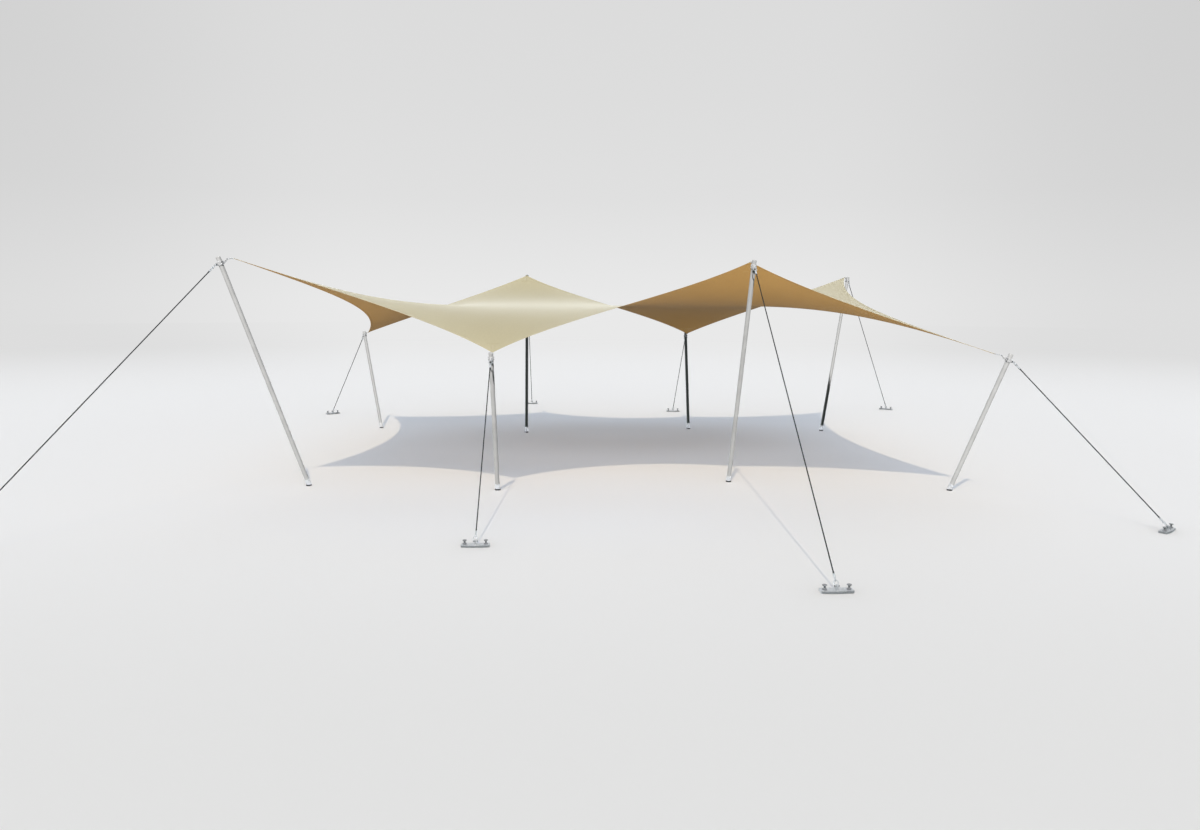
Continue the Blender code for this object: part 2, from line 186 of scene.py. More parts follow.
# Membrane, as in part.py but finer
BAY_CELLS = 54
CROSS_CELLS = 108
COLUMNS = 3 * BAY_CELLS + 1
ROWS = CROSS_CELLS + 1
END_EDGE_PULL = 1.07
BAY_EDGE_PULLS = (0.88, 0.50, 1.30)
CROSS_PULL = 1.04
CLOTH_THICKNESS = 0.0016
YARN_PITCH = 0.0016
HEM_WIDTH = 0.045
HEM_STEP = 0.0011  # how far the hem stands proud of the cloth on each side
PATCH_STEP = 0.0008
PATCH_DEPTH = 0.30
PATCH_REACH = 1.1  # no point of a patch is further from its tip
TIP_TRIM = 0.010  # the cloth's tip is cut off here, short of the link's bar
CUT_REACH = 1.2  # only faces this near to a corner are cut
HEM_PITCH = 0.05
HEM_TAPER = 0.42  # the hem's widest share of the distance to its corner
RAY_RISE = 0.25  # rays that look for the cloth start this far above it

# Straps, links and stitches
STRAP_WIDTH = 0.038
STRAP_THICKNESS = 0.0018
STRAP_START = 0.022
STRAP_RUN = 0.205
STRAP_RIB = 0.0022
LINK_BAR = 0.004
LINK_ENDS = (0.0145, 0.0225)  # half its width, at the arm and at the cloth
LINK_BEND = 0.0065
BAR_INSET = 0.004  # from the cloth's full tip to the link's far bar
STITCH_BOXES = ((0.040, 0.125), (0.135, 0.218))
STITCH_INSET = 0.005
STITCH_PITCH = 0.0052
STITCH_LENGTH = 0.0038
THREAD_RADIUS = 0.0005
PATCH_SEAMS = (0.006, 0.014)  # in from the patch's straight edge
PATCH_SEAM_HALF = 0.11


# Small tools

def move(x=0.0, y=0.0, z=0.0):
    return Matrix.Translation((x, y, z))


def turned(degrees, axis):
    return Matrix.Rotation(math.radians(degrees), 4, axis)


def facing_y(y, z, sign=1):
    """A frame on the Y axis, raised by z, whose Z axis points along +Y or -Y."""
    return move(0.0, y, z) @ turned(-90.0 * sign, "X")


def mirrored(points):
    """The upper half of an outline, followed by its mirror image."""
    return points + [(x, -z) for x, z in reversed(points)]


def add_object(name, data):
    thing = bpy.data.objects.new(name, data)
    bpy.context.scene.collection.objects.link(thing)
    return thing


def smoothed(mesh, sharp_angle, *materials):
    mesh.shade_smooth()
    mesh.set_sharp_from_angle(angle=math.radians(sharp_angle))
    for material in materials:
        mesh.materials.append(material)
    return mesh


def mesh_from(bm, name, *materials, sharp_angle=35.0):
    mesh = bpy.data.meshes.new(name)
    bmesh.ops.recalc_face_normals(bm, faces=bm.faces)
    bm.to_mesh(mesh)
    bm.free()
    return smoothed(mesh, sharp_angle, *materials)


def place(name, mesh, matrix=Matrix(), stands_for=None):
    """Adds a piece that rides with the tent, and stands for a CAD node where one is named."""
    thing = add_object(name, mesh)
    thing.matrix_world = matrix
    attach(thing, "root")
    if stands_for:
        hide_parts(stands_for)
    return thing


def turned_mesh(name, material, profile, sides, seats=(Matrix(),), sharp_angle=35.0, closed=False):
    """A mesh of one turned solid, or of a copy in each seat."""
    bm = bmesh.new()
    for seat in seats:
        add_turned(bm, profile, sides, seat, closed)
    return mesh_from(bm, name, material, sharp_angle=sharp_angle)


def groove(radius, depth, start, end, slope):
    """A groove in a profile, from one height to another."""
    slope = math.copysign(slope, end - start)
    return [(radius, start), (radius - depth, start + slope), (radius - depth, end - slope), (radius, end)]


def add_turned(bm, profile, sides, matrix=Matrix(), closed=False):
    """Adds a turned solid: a ring for each (radius, height) point, of one vertex where the radius is nil."""
    turns = [2 * math.pi * k / sides for k in range(sides)]
    rings = []
    for radius, height in profile:
        ring = [bm.verts.new(matrix @ Vector((radius * math.cos(a), radius * math.sin(a), height)))
                for a in (turns if radius else turns[:1])]
        rings.append(ring if radius else ring * sides)
    if closed:
        rings.append(rings[0])
    for upper, lower in zip(rings, rings[1:]):
        for quad in zip(upper, lower, lower[1:] + lower[:1], upper[1:] + upper[:1]):
            bm.faces.new(tuple(dict.fromkeys(quad)))


def add_sweep(bm, points, radius, sides, matrix=Matrix(), cyclic=False):
    """Adds a round bar along a line of points; radius is a number, or one for each point."""
    points = [matrix @ Vector(p) for p in points]
    count = len(points)
    radii = [radius] * count if isinstance(radius, float) else radius
    turns = [2 * math.pi * s / sides for s in range(sides)]
    rings = []
    side = None
    for k, point in enumerate(points):
        ahead = points[(k + 1) % count] if cyclic else points[min(k + 1, count - 1)]
        behind = points[k - 1] if cyclic or k else points[0]
        along = (ahead - behind).normalized()
        side = side or along.orthogonal()
        side = (side - along * side.dot(along)).normalized()
        other = along.cross(side)
        rings.append([bm.verts.new(point + radii[k] * (math.cos(a) * side + math.sin(a) * other))
                      for a in turns])
    if cyclic:
        last, first = rings[-1], rings[0]
        turn = min(range(sides), key=lambda s: (first[s].co - last[0].co).length)
        rings.append(first[turn:] + first[:turn])
    for a, b in zip(rings, rings[1:]):
        for quad in zip(a, a[1:] + a[:1], b[1:] + b[:1], b):
            bm.faces.new(quad)
    if not cyclic:
        bm.faces.new(rings[0][::-1])
        bm.faces.new(rings[-1])


def add_outline(bm, loops, thickness, ease=0.0012):
    """Adds a flat plate in the plane y = 0, its edges eased; loops after the first are holes."""
    curve = bpy.data.curves.new("outline", "CURVE")
    curve.dimensions = "2D"
    curve.fill_mode = "BOTH"
    curve.extrude = thickness / 2 - ease
    curve.bevel_depth = ease
    curve.bevel_resolution = 1
    curve.offset = -ease
    for loop in loops:
        line = curve.splines.new("POLY")
        line.points.add(len(loop) - 1)
        line.use_cyclic_u = True
        for point, (x, z) in zip(line.points, loop):
            point.co = (x, z, 0.0, 1.0)
    thing = bpy.data.objects.new("outline", curve)
    mesh = bpy.data.meshes.new_from_object(thing)
    bpy.data.objects.remove(thing)
    bpy.data.curves.remove(curve)
    part = bmesh.new()
    part.from_mesh(mesh)
    bmesh.ops.remove_doubles(part, verts=part.verts, dist=0.00002)
    part.to_mesh(mesh)
    part.free()
    mesh.transform(turned(90.0, "X"))
    bm.from_mesh(mesh)
    bpy.data.meshes.remove(mesh)


def add_hex(bm, radius, height, matrix):
    """Adds a hexagonal head or nut that stands on the plane z = 0, with its corners eased."""
    add_turned(bm, [(0.0, height), (radius * 0.84, height), (radius, height - height * 0.2), (radius, 0.0),
                    (0.0, 0.0)], 6, matrix)


def add_bolt(bm, radius, matrix):
    """Adds a washer with a hexagonal head on it."""
    washer = radius * 1.3
    add_turned(bm, [(0.0, 0.0015), (washer - 0.0005, 0.0015), (washer, 0.001), (washer, 0.0), (0.0, 0.0)],
               24, matrix)
    add_hex(bm, radius, radius * 0.75, matrix @ move(z=0.0015))


def add_weld(bm, start, end, radius=WELD_RADIUS):
    """Adds a rippled weld bead between two points."""
    start, end = Vector(start), Vector(end)
    count = max(8, int((end - start).length / WELD_PITCH))
    points = [start.lerp(end, k / count) for k in range(count + 1)]
    radii = [radius * (1.0 + WELD_RIPPLE * math.sin(k * 1.9)) for k in range(count + 1)]
    radii[0] = radii[-1] = radius * 0.5
    add_sweep(bm, points, radii, 8)


def add_band(bm, rings, colour):
    """Joins rings of (vertex, texture place) pairs into a closed band; colour(k, s) picks the material."""
    layer = bm.loops.layers.uv.new("cloth")
    for k, (a, b) in enumerate(zip(rings, rings[1:])):
        for s, quad in enumerate(zip(a, a[1:] + a[:1], b[1:] + b[:1], b)):
            face = bm.faces.new([vertex for vertex, _ in quad])
            face.material_index = colour(k, s)
            for loop, (_, flat) in zip(face.loops, quad):
                loop[layer].uv = flat
    for end in (rings[0][::-1], rings[-1]):
        bm.faces.new([vertex for vertex, _ in end])


def arc(centre_x, centre_z, radius, start, end, count):
    angles = [math.radians(start + (end - start) * i / count) for i in range(count + 1)]
    return [(centre_x + radius * math.cos(a), centre_z + radius * math.sin(a)) for a in angles]


def circle(centre_x, centre_z, radius, count=28):
    """A hole's outline."""
    return arc(centre_x, centre_z, radius, 0.0, 360.0 * (count - 1) / count, count - 1)


def rounded(corners, radius, count):
    """A closed line of (x, y) points with its corners turned to a radius."""
    line = []
    for k, corner in enumerate(corners):
        here = Vector(corner)
        back = Vector(corners[k - 1]) - here
        ahead = Vector(corners[(k + 1) % len(corners)]) - here
        half = back.angle(ahead) / 2
        run = min(radius / math.tan(half), 0.45 * back.length, 0.45 * ahead.length)
        start = here + back.normalized() * run
        end = here + ahead.normalized() * run
        for t in (i / count for i in range(count + 1)):
            line.append(tuple(start * (1 - t) ** 2 + 2 * here * t * (1 - t) + end * t ** 2))
    return line


# Materials

class Nodes:
    """A material's or world's node tree, with short calls for the nodes used here."""

    def __init__(self, owner):
        owner.use_nodes = True
        self.owner = owner
        self.nodes = owner.node_tree.nodes

    def put(self, socket, value):
        if isinstance(value, bpy.types.NodeSocket):
            self.owner.node_tree.links.new(value, socket)
        elif isinstance(value, tuple) and len(socket.default_value) == 4:
            socket.default_value = (*value, 1.0)
        else:
            socket.default_value = value

    def make(self, kind, inputs, output=0, **settings):
        node = self.nodes.new("ShaderNode" + kind)
        for name, value in settings.items():
            setattr(node, name, value)
        for socket, value in inputs.items():
            self.put(node.inputs[socket], value)
        return node.outputs[output]

    def paint(self, **values):
        """Puts values on the sockets of a material's shader, and returns the material."""
        for name, value in values.items():
            self.put(self.nodes["Principled BSDF"].inputs[name.replace("_", " ")], value)
        return self.owner

    def coords(self, kind):
        return self.make("TexCoord", {}, kind)

    def flat(self):
        return self.make("UVMap", {}, uv_map="cloth")

    def split(self, vector):
        return self.make("SeparateXYZ", {0: vector}).node.outputs

    def scaled(self, vector, scale, shift=(0.0, 0.0, 0.0)):
        return self.make("Mapping", {"Vector": vector, "Location": shift, "Scale": scale})

    def length(self, vector):
        return self.make("VectorMath", {0: vector}, "Value", operation="LENGTH")

    def noise(self, vector, scale, detail=3.0, roughness=0.55):
        return self.make("TexNoise", {"Vector": vector, "Scale": scale, "Detail": detail,
                                      "Roughness": roughness}, "Fac")

    def math(self, operation, *values):
        return self.make("Math", dict(enumerate(values)), operation=operation)

    def weighed(self, *parts):
        """The sum of (value, weight) pairs."""
        total = 0.0
        for value, weight in parts:
            total = self.math("MULTIPLY_ADD", value, weight, total)
        return total

    def remap(self, value, low, high, to_low=0.0, to_high=1.0, kind="LINEAR"):
        return self.make("MapRange", {"Value": value, "From Min": low, "From Max": high, "To Min": to_low,
                                      "To Max": to_high}, "Result", interpolation_type=kind)

    def ease(self, value, *limits):
        """As remap, but with a soft start and end."""
        return self.remap(value, *limits, kind="SMOOTHSTEP")

    def mix(self, factor, a, b, blend="MIX"):
        node = self.make("Mix", {0: factor}, data_type="RGBA", blend_type=blend).node
        for socket, colour in zip([s for s in node.inputs if s.type == "RGBA"], (a, b)):
            self.put(socket, colour)
        return [s for s in node.outputs if s.type == "RGBA"][0]

    def tones(self, factor, colour, dark, light):
        return self.mix(factor, tinted(colour, dark), tinted(colour, light))

    def bump(self, height, distance, strength, normal=None):
        under = {} if normal is None else {"Normal": normal}
        return self.make("Bump", {"Distance": distance, "Strength": strength, "Height": height, **under},
                         "Normal")


def shade(name, **values):
    """A new material's nodes, with these constant values on its shader's sockets."""
    tree = Nodes(bpy.data.materials.new(name))
    tree.paint(**values)
    return tree


def tinted(colour, factor):
    return tuple(min(1.0, c * factor) for c in colour)


def cloth_material(name, colour, mottle, sheen, stitched=False):
    """Knitted stretch cloth: crossing yarns, cloudy shade, and on the hem two rows of stitches."""
    tree = shade(name, Sheen_Weight=sheen, Sheen_Roughness=0.35, Sheen_Tint=SHEEN_TINT,
                 Specular_IOR_Level=0.2)
    flat = tree.flat()
    along, across, _ = tree.split(flat)
    weave = tree.math("MULTIPLY", *(tree.math("SINE", tree.math("MULTIPLY", axis, 2 * math.pi / YARN_PITCH))
                                    for axis in (along, across)))
    cloud = tree.noise(flat, 0.7, 4.0, 0.6)
    grain = tree.noise(flat, 24.0, 4.0, 0.7)
    slub = tree.noise(tree.scaled(flat, (1.0, 9.0, 1.0)), 30.0, 2.0)
    tone = tree.ease(tree.weighed((cloud, 0.3), (grain, 0.5), (slub, 0.2)), 0.36, 0.64)
    base = tree.tones(tone, colour, 1.0 - mottle, 1.0 + mottle)
    base = tree.mix(tree.math("MULTIPLY_ADD", weave, 0.06, 0.06), base, tinted(colour, 0.72))
    normal = tree.bump(weave, 0.00022, 0.5)
    if stitched:
        rows = [tree.math("LESS_THAN", tree.math("ABSOLUTE", tree.math("SUBTRACT", across, centre)), 0.0010)
                for centre in (0.008, HEM_WIDTH - 0.007)]
        dash = tree.math("GREATER_THAN", tree.math("PINGPONG", along, 0.0035), 0.0009)
        thread = tree.math("MULTIPLY", tree.math("MAXIMUM", *rows), dash)
        base = tree.mix(thread, base, tinted(colour, 1.2))
        normal = tree.bump(thread, 0.0006, 0.8, normal)
    return tree.paint(Base_Color=base, Normal=normal, Roughness=tree.remap(grain, 0.3, 0.7, 0.78, 0.9))


def webbing_material(name, colour, sheen):
    """Woven strap: slanting ribs, painted shade in the troughs between them, and soft dirt."""
    tree = shade(name, Sheen_Weight=sheen, Specular_IOR_Level=0.25)
    flat = tree.flat()
    along, across, _ = tree.split(flat)
    twill = tree.math("MULTIPLY_ADD", across, 0.8, along)
    ribs = tree.math("SINE", tree.math("MULTIPLY", twill, 2 * math.pi / STRAP_RIB))
    dirt = tree.noise(flat, 40.0, 4.0, 0.65)
    base = tree.mix(tree.remap(dirt, 0.35, 0.7), colour, tinted(colour, 0.86))
    # painted shade: darker in the troughs between the ribs, where the bump is low
    base = tree.mix(tree.remap(ribs, -1.0, 1.0, 0.12, 0.0), base, tinted(colour, 0.5))
    return tree.paint(Base_Color=base, Roughness=tree.remap(dirt, 0.3, 0.7, 0.72, 0.86),
                      Normal=tree.bump(ribs, 0.0003, 0.6))


def drawn_metal(name, colour, roughness):
    """Satin tube metal: fine lines drawn along its Z axis, cloudy shine and scuffs."""
    tree = shade(name, Metallic=1.0)
    place_on = tree.coords("Object")
    lines = tree.noise(tree.scaled(place_on, (1.0, 1.0, 0.012)), 520.0, 2.0)
    cloud = tree.noise(place_on, 6.0, 4.0)
    scuffs = tree.noise(tree.scaled(place_on, (1.0, 1.0, 0.25)), 90.0, 5.0, 0.7)
    worn = tree.remap(scuffs, 0.60, 0.72)
    tone = tree.weighed((lines, 0.4), (cloud, 0.6))
    base = tree.tones(tree.remap(tone, 0.35, 0.65), colour, 0.93, 1.05)
    base = tree.mix(tree.math("MULTIPLY", worn, 0.35), base, tinted(colour, 0.72))
    finish = tree.remap(tone, 0.3, 0.7, roughness - 0.06, roughness + 0.06)
    return tree.paint(Base_Color=base, Roughness=tree.math("MULTIPLY_ADD", worn, 0.10, finish),
                      Normal=tree.bump(lines, 0.00004, 0.35))


def zinc_metal(name, colour, roughness, spangle, metallic=1.0):
    """Galvanised or cast steel: zinc flakes, dull patches and fine pits."""
    tree = shade(name, Metallic=metallic)
    place_on = tree.coords("Object")
    flakes = tree.split(tree.make("TexVoronoi", {"Vector": place_on, "Scale": spangle}, "Color"))[0]
    dull = tree.noise(place_on, 22.0, 5.0, 0.65)
    base = tree.tones(flakes, colour, 0.90, 1.08)
    base = tree.mix(tree.remap(dull, 0.5, 0.75, 0.0, 0.6), base, tinted(colour, 0.70))
    finish = tree.remap(flakes, 0.0, 1.0, roughness - 0.05, roughness + 0.05)
    return tree.paint(Base_Color=base, Normal=tree.bump(tree.noise(place_on, 900.0), 0.00008, 0.4),
                      Roughness=tree.math("MULTIPLY_ADD", tree.remap(dull, 0.5, 0.75), 0.15, finish))


def moulded_material(name, colour, roughness, scale, depth, variation):
    """Moulded plastic, rubber or thread: a fine grain and slightly uneven colour."""
    tree = shade(name)
    place_on = tree.coords("Object")
    fine = tree.noise(place_on, scale, 4.0)
    cloud = tree.remap(tree.noise(place_on, 30.0, 4.0, 0.6), 0.3, 0.7)
    return tree.paint(Base_Color=tree.tones(cloud, colour, 1.0 - variation, 1.0 + variation),
                      Roughness=tree.remap(fine, 0.3, 0.7, roughness - 0.08, roughness + 0.08),
                      Normal=tree.bump(fine, depth, 0.5))


def rope_material(name, colour):
    """Spun polyester: fibres that run along the strands in random tones, with a painted highlight where they
    stand proud.
    """
    tree = shade(name, Specular_IOR_Level=0.25)
    place_on = tree.coords("Object")
    fibres = tree.noise(tree.scaled(place_on, (1.0, 1.0, 0.35)), 1400.0, 2.0)
    # the fibres that raise the bump also lighten the colour: a painted highlight on the proud fibres
    tone = tree.weighed((tree.noise(place_on, 18.0, 4.0), 0.4), (fibres, 0.6))
    return tree.paint(Base_Color=tree.tones(tree.remap(tone, 0.35, 0.65), colour, 0.72, 1.3),
                      Roughness=tree.remap(fibres, 0.3, 0.7, 0.7, 0.9), Normal=tree.bump(fibres, 0.0003, 0.6))


cream_cloth = cloth_material("cream_cloth", CREAM, 0.035, CREAM_SHEEN)
cream_hem = cloth_material("cream_hem", CREAM, 0.035, CREAM_SHEEN, stitched=True)
tan_cloth = cloth_material("tan_cloth", TAN, 0.06, 0.0)
tan_hem = cloth_material("tan_hem", TAN, 0.06, 0.0, stitched=True)
cream_patch = cloth_material("cream_patch", CREAM, 0.03, CREAM_SHEEN)
tan_patch = cloth_material("tan_patch", TAN, 0.05, 0.0)
cream_strap = webbing_material("cream_strap", tinted(CREAM, 1.1), CREAM_SHEEN)
tan_strap = webbing_material("tan_strap", tinted(TAN, 1.1), 0.0)
stitch_thread = moulded_material("stitch_thread", (0.34, 0.26, 0.14), 0.7, 2500.0, 0.0001, 0.05)
pole_metal = drawn_metal("drawn_aluminium", (0.62, 0.62, 0.623), 0.88)
fitting_metal = zinc_metal("galvanised_fitting", (0.50, 0.50, 0.505), 0.88, 180.0, 0.85)
bright_metal = zinc_metal("bright_shackle", (0.64, 0.65, 0.65), 0.55, 320.0, 0.5)
ground_metal = zinc_metal("galvanised_plate", (0.70, 0.71, 0.72), 0.50, 120.0, 0.82)
peg_metal = zinc_metal("peg_steel", (0.40, 0.405, 0.41), 0.50, 260.0, 0.8)
bolt_metal = zinc_metal("bolt_steel", (0.42, 0.42, 0.43), 0.42, 400.0)
pin_metal = zinc_metal("pin_steel", (0.25, 0.27, 0.265), 0.42, 400.0, 0.7)
sleeve_plastic = moulded_material("sleeve_plastic", (0.58, 0.58, 0.575), 0.48, 420.0, 0.00006, 0.02)
pad_rubber = moulded_material("pad_rubber", (0.040, 0.041, 0.044), 0.80, 260.0, 0.0002, 0.25)
shrink_plastic = moulded_material("shrink_sleeve", (0.045, 0.046, 0.048), 0.6, 300.0, 0.0001, 0.15)
rope_fibre = rope_material("rope_fibre", (0.022, 0.024, 0.026))


# Stations

def make_station(x, y, height, angle, rope_angle):
    """The places that one pole, its rope and its ground plate share."""
    out = Vector((math.cos(math.radians(angle)), math.sin(math.radians(angle)), 0.0))
    lean = math.radians(POLE_LEAN)
    foot = Vector((x, y, 0.0)) - out * height * math.tan(lean)
    anchor = Vector((x, y, 0.0)) + out * height * math.tan(math.radians(rope_angle))
    turn = turned(angle, "Z")
    pole = Matrix.Translation(foot) @ turn @ turned(POLE_LEAN, "Y")
    length = height / math.cos(lean)
    collar = pole @ move(z=length - COLLAR_DROP)
    lug = anchor + Vector((0.0, 0.0, LUG_HOLE_HEIGHT))
    rope_line = collar @ Vector((EYE_REACH, 0.0, 0.0)) - lug
    steep = math.atan2(math.hypot(rope_line.x, rope_line.y), rope_line.z)
    return {
        "length": length,
        "pole": pole,
        "collar": collar,
        "pad": Matrix.Translation(foot + out * PAD_HEIGHT * math.tan(lean)) @ turn,
        "corner": collar @ Vector((-ARM_REACH, 0.0, 0.0)),
        "plate": Matrix.Translation(anchor) @ turn,
        "rope": Matrix.Translation(lug) @ turn @ Matrix.Rotation(-steep, 4, "Y"),
        "rope_length": rope_line.length,
    }


stations = {}
for side, opposite in zip(SIDES, reversed(SIDES)):
    x, y, height, angle, rope_angle = FRONT_STATIONS[side]
    stations["front_" + side] = make_station(x, y, height, angle, rope_angle)
    stations["back_" + opposite] = make_station(-x, -y, height, angle + 180.0, rope_angle)
tips = {edge + side: (k * BAY_CELLS, row) for k, side in enumerate(SIDES)
        for edge, row in (("front_", 0), ("back_", ROWS - 1))}


# Membrane

def find_form():
    """The balanced shape of the cloth, as in part.py, by conjugate gradients so that it can be finer."""
    along = np.ones((COLUMNS - 1, ROWS, 1))
    for bay, (front_pull, back_pull) in enumerate(zip(BAY_EDGE_PULLS, reversed(BAY_EDGE_PULLS))):
        cells = slice(bay * BAY_CELLS, (bay + 1) * BAY_CELLS)
        along[cells, 0] = 0.5 + front_pull * BAY_CELLS
        along[cells, -1] = 0.5 + back_pull * BAY_CELLS
    across = np.full((COLUMNS, ROWS - 1, 1), CROSS_PULL)
    across[[0, -1]] = 0.5 * CROSS_PULL + END_EDGE_PULL * CROSS_CELLS

    def gathered(x_part, y_part, sign):
        """What each knot gets from its strands, with a sign for those behind it."""
        total = np.zeros((COLUMNS, ROWS, x_part.shape[2]))
        total[:-1] += x_part
        total[1:] += sign * x_part
        total[:, :-1] += y_part
        total[:, 1:] += sign * y_part
        return total

    def pulls(points):
        return gathered(along * (points[:-1] - points[1:]), across * (points[:, :-1] - points[:, 1:]), -1)

    free = np.ones((COLUMNS, ROWS, 1))
    points = np.zeros((COLUMNS, ROWS, 3))
    for name, tip in tips.items():
        points[tip] = stations[name]["corner"][:]
        free[tip] = 0.0
    weight = gathered(along, across, 1)
    rest = -pulls(points) * free
    ready = rest / weight
    step = ready.copy()
    energy = (rest * ready).sum()
    limit = energy * 1e-16
    while energy > limit:
        change = pulls(step) * free
        size = energy / (step * change).sum()
        points += size * step
        rest -= size * change
        ready = rest / weight
        following = (rest * ready).sum()
        step = ready + step * following / energy
        energy = following
    return points


def path_lengths(line):
    steps = np.linalg.norm(np.diff(line, axis=0), axis=1)
    return np.concatenate([[0.0], np.cumsum(steps)])


form = find_form()


def make_corner(name, i, j):
    """A corner of the cloth: its tip, the ways in, up and across, and both ends of its link."""
    inner = form[i, 2 if j == 0 else ROWS - 3]
    ahead = form[i + 2, j] if i + 2 < COLUMNS else inner
    behind = form[i - 2, j] if i > 0 else inner
    a = Vector(ahead - form[i, j]).normalized()
    b = Vector(behind - form[i, j]).normalized()
    tip = Vector(form[i, j])
    inward = (a + b).normalized()
    up = a.cross(b).normalized()
    if up.z < 0.0:
        up = -up
    across = up.cross(inward)
    collar = stations[name]["collar"]
    pin_way = collar.to_3x3() @ Vector((0.0, 1.0, 0.0))
    return {"tip": tip, "inward": inward, "up": up, "across": across, "bar": tip + inward * BAR_INSET,
            "hole": collar @ Vector((-HORN_REACH, 0.0, HORN_RISE)),
            "pin_way": pin_way if pin_way.dot(across) > 0.0 else -pin_way}


corners = {name: make_corner(name, *tip) for name, tip in tips.items()}


def cloth_grid():
    """The cloth's middle surface with its texture coordinates, both in metres."""
    across = path_lengths(form[COLUMNS // 2])
    along = path_lengths(form[:, ROWS // 2])
    bm = bmesh.new()
    bmesh.ops.create_grid(bm, x_segments=COLUMNS - 1, y_segments=ROWS - 1, size=1.0)
    layer = bm.loops.layers.uv.new("cloth")
    flat = {}
    for vertex in bm.verts:
        i = round((vertex.co.x + 1.0) / 2.0 * (COLUMNS - 1))
        j = round((vertex.co.y + 1.0) / 2.0 * (ROWS - 1))
        flat[vertex] = (along[i], across[j])
        vertex.co = form[i, j]
    for face in bm.faces:
        for loop in face.loops:
            loop[layer].uv = flat[loop.vert]
    bm.normal_update()
    return bm


def cut(bm, corner, depth, keep_inside):
    """Cuts the cloth straight across near a corner and drops what lies on one side of the cut."""
    near = [f for f in bm.faces if (f.calc_center_median() - corner["tip"]).length < CUT_REACH]
    edges = dict.fromkeys(edge for face in near for edge in face.edges)
    vertices = dict.fromkeys(vertex for face in near for vertex in face.verts)
    bmesh.ops.bisect_plane(bm, geom=[*near, *edges, *vertices], plane_no=corner["inward"],
                           plane_co=corner["tip"] + corner["inward"] * depth,
                           clear_inner=keep_inside, clear_outer=not keep_inside)


def finish_sheet(name, bm, thickness, upper, lower, stands_for=None):
    """Gives the surface its thickness, with a sharp rim, so that its faces aren't shaded round the edge."""
    surface = bpy.data.meshes.new(name)
    bm.to_mesh(surface)
    bm.free()
    surface.materials.append(upper)
    surface.materials.append(lower)
    thing = add_object(name, surface)
    shell = thing.modifiers.new("cloth", "SOLIDIFY")
    shell.thickness = thickness
    shell.offset = 0.0
    shell.material_offset = 1
    mesh = bpy.data.meshes.new_from_object(thing.evaluated_get(bpy.context.evaluated_depsgraph_get()))
    bpy.data.objects.remove(thing)
    bpy.data.meshes.remove(surface)
    return place(name, smoothed(mesh, 40.0), stands_for=stands_for)


def build_membrane():
    """The cloth as one smooth sheet, cream on its upper face and tan on its lower one."""
    bm = cloth_grid()
    for corner in corners.values():
        cut(bm, corner, TIP_TRIM, True)
    return finish_sheet("membrane_cloth", bm, CLOTH_THICKNESS, cream_cloth, tan_cloth, "membrane")


def build_patch(name, corner):
    """The doubled cloth of one corner, from its cut tip to a straight edge further in."""
    bm = cloth_grid()
    far = [f for f in bm.faces if (f.calc_center_median() - corner["tip"]).length > PATCH_REACH]
    bmesh.ops.delete(bm, geom=far, context="FACES")
    cut(bm, corner, TIP_TRIM, True)
    cut(bm, corner, PATCH_DEPTH, False)
    return finish_sheet("corner_patch_" + name, bm, CLOTH_THICKNESS + 2 * PATCH_STEP, cream_patch,
                        tan_patch)


def smooth_line(points, count):
    """Evenly spaced points along the smooth curve through the given ones."""
    lengths = path_lengths(points)
    result = []
    for length in np.linspace(0.0, lengths[-1], count + 1):
        k = min(max(np.searchsorted(lengths, length) - 1, 0), len(points) - 2)
        t = (length - lengths[k]) / (lengths[k + 1] - lengths[k])
        before, after = points[max(k - 1, 0)], points[min(k + 2, len(points) - 1)]
        a, b = points[k], points[k + 1]
        result.append(0.5 * (2 * a + (b - before) * t + (2 * before - 5 * a + 4 * b - after) * t ** 2
                             + (3 * a - before - 3 * b + after) * t ** 3))
    return np.array(result)


def build_hem(name, edge, inner):
    """A folded hem along one edge of the cloth, a band on both faces with a rounded fold."""
    count = int(path_lengths(edge)[-1] / HEM_PITCH)
    edge_line = smooth_line(edge, count)
    inner_line = smooth_line(inner, count)
    distance = path_lengths(edge_line)
    half = CLOTH_THICKNESS / 2
    proud = half + HEM_STEP
    bm = bmesh.new()
    rings = []
    for k, point in enumerate(edge_line):
        nearest_tip = min(distance[k], distance[-1] - distance[k])
        if nearest_tip < TIP_TRIM:
            continue
        tangent = edge_line[k + 1] - edge_line[k - 1]
        tangent /= np.linalg.norm(tangent)
        inward = inner_line[k] - point
        normal = np.cross(tangent, inward)
        normal /= np.linalg.norm(normal)
        if normal[2] < 0.0:
            normal = -normal
        square = np.cross(normal, tangent)
        inward = square * np.sign(np.dot(square, inward))
        width = min(HEM_WIDTH, HEM_TAPER * nearest_tip)
        profile = mirrored([(width, half + 0.0002), (width - 0.0012, proud), (0.002, proud),
                            (-0.0006, proud * 0.8)])
        profile.insert(4, (-0.0022, 0.0))
        rings.append([(bm.verts.new(point + inward * run + normal * lift), (distance[k], max(run, 0.0)))
                      for run, lift in profile])
    add_band(bm, rings, lambda k, s: int(s > 3))
    return place(name, mesh_from(bm, name, cream_hem, tan_hem, sharp_angle=50.0))


def on_cloth(tree, corner, inwards, sideways, lift):
    """The point above (or below, where lift is negative) the cloth at a place near its corner."""
    start = corner["tip"] + corner["inward"] * inwards + corner["across"] * sideways
    hit, normal, _, _ = tree.ray_cast(start + corner["up"] * RAY_RISE, -corner["up"])
    return hit + normal * lift, normal


def build_link(name, corner):
    """The long welded link through the arm's end that the strap loops round."""
    way = corner["bar"] - corner["hole"]
    reach = way.length
    way.normalize()
    near, far = LINK_ENDS
    points = []
    for x, y in rounded([(0.0, -near), (0.0, near), (reach, far), (reach, -far)], LINK_BEND, 8):
        side = corner["pin_way"].lerp(corner["across"], x / reach).normalized()
        points.append(corner["hole"] + way * x + side * y)
    bm = bmesh.new()
    add_sweep(bm, points, LINK_BAR, 14, cyclic=True)
    return place("corner_link_" + name, mesh_from(bm, "corner_link", bright_metal))


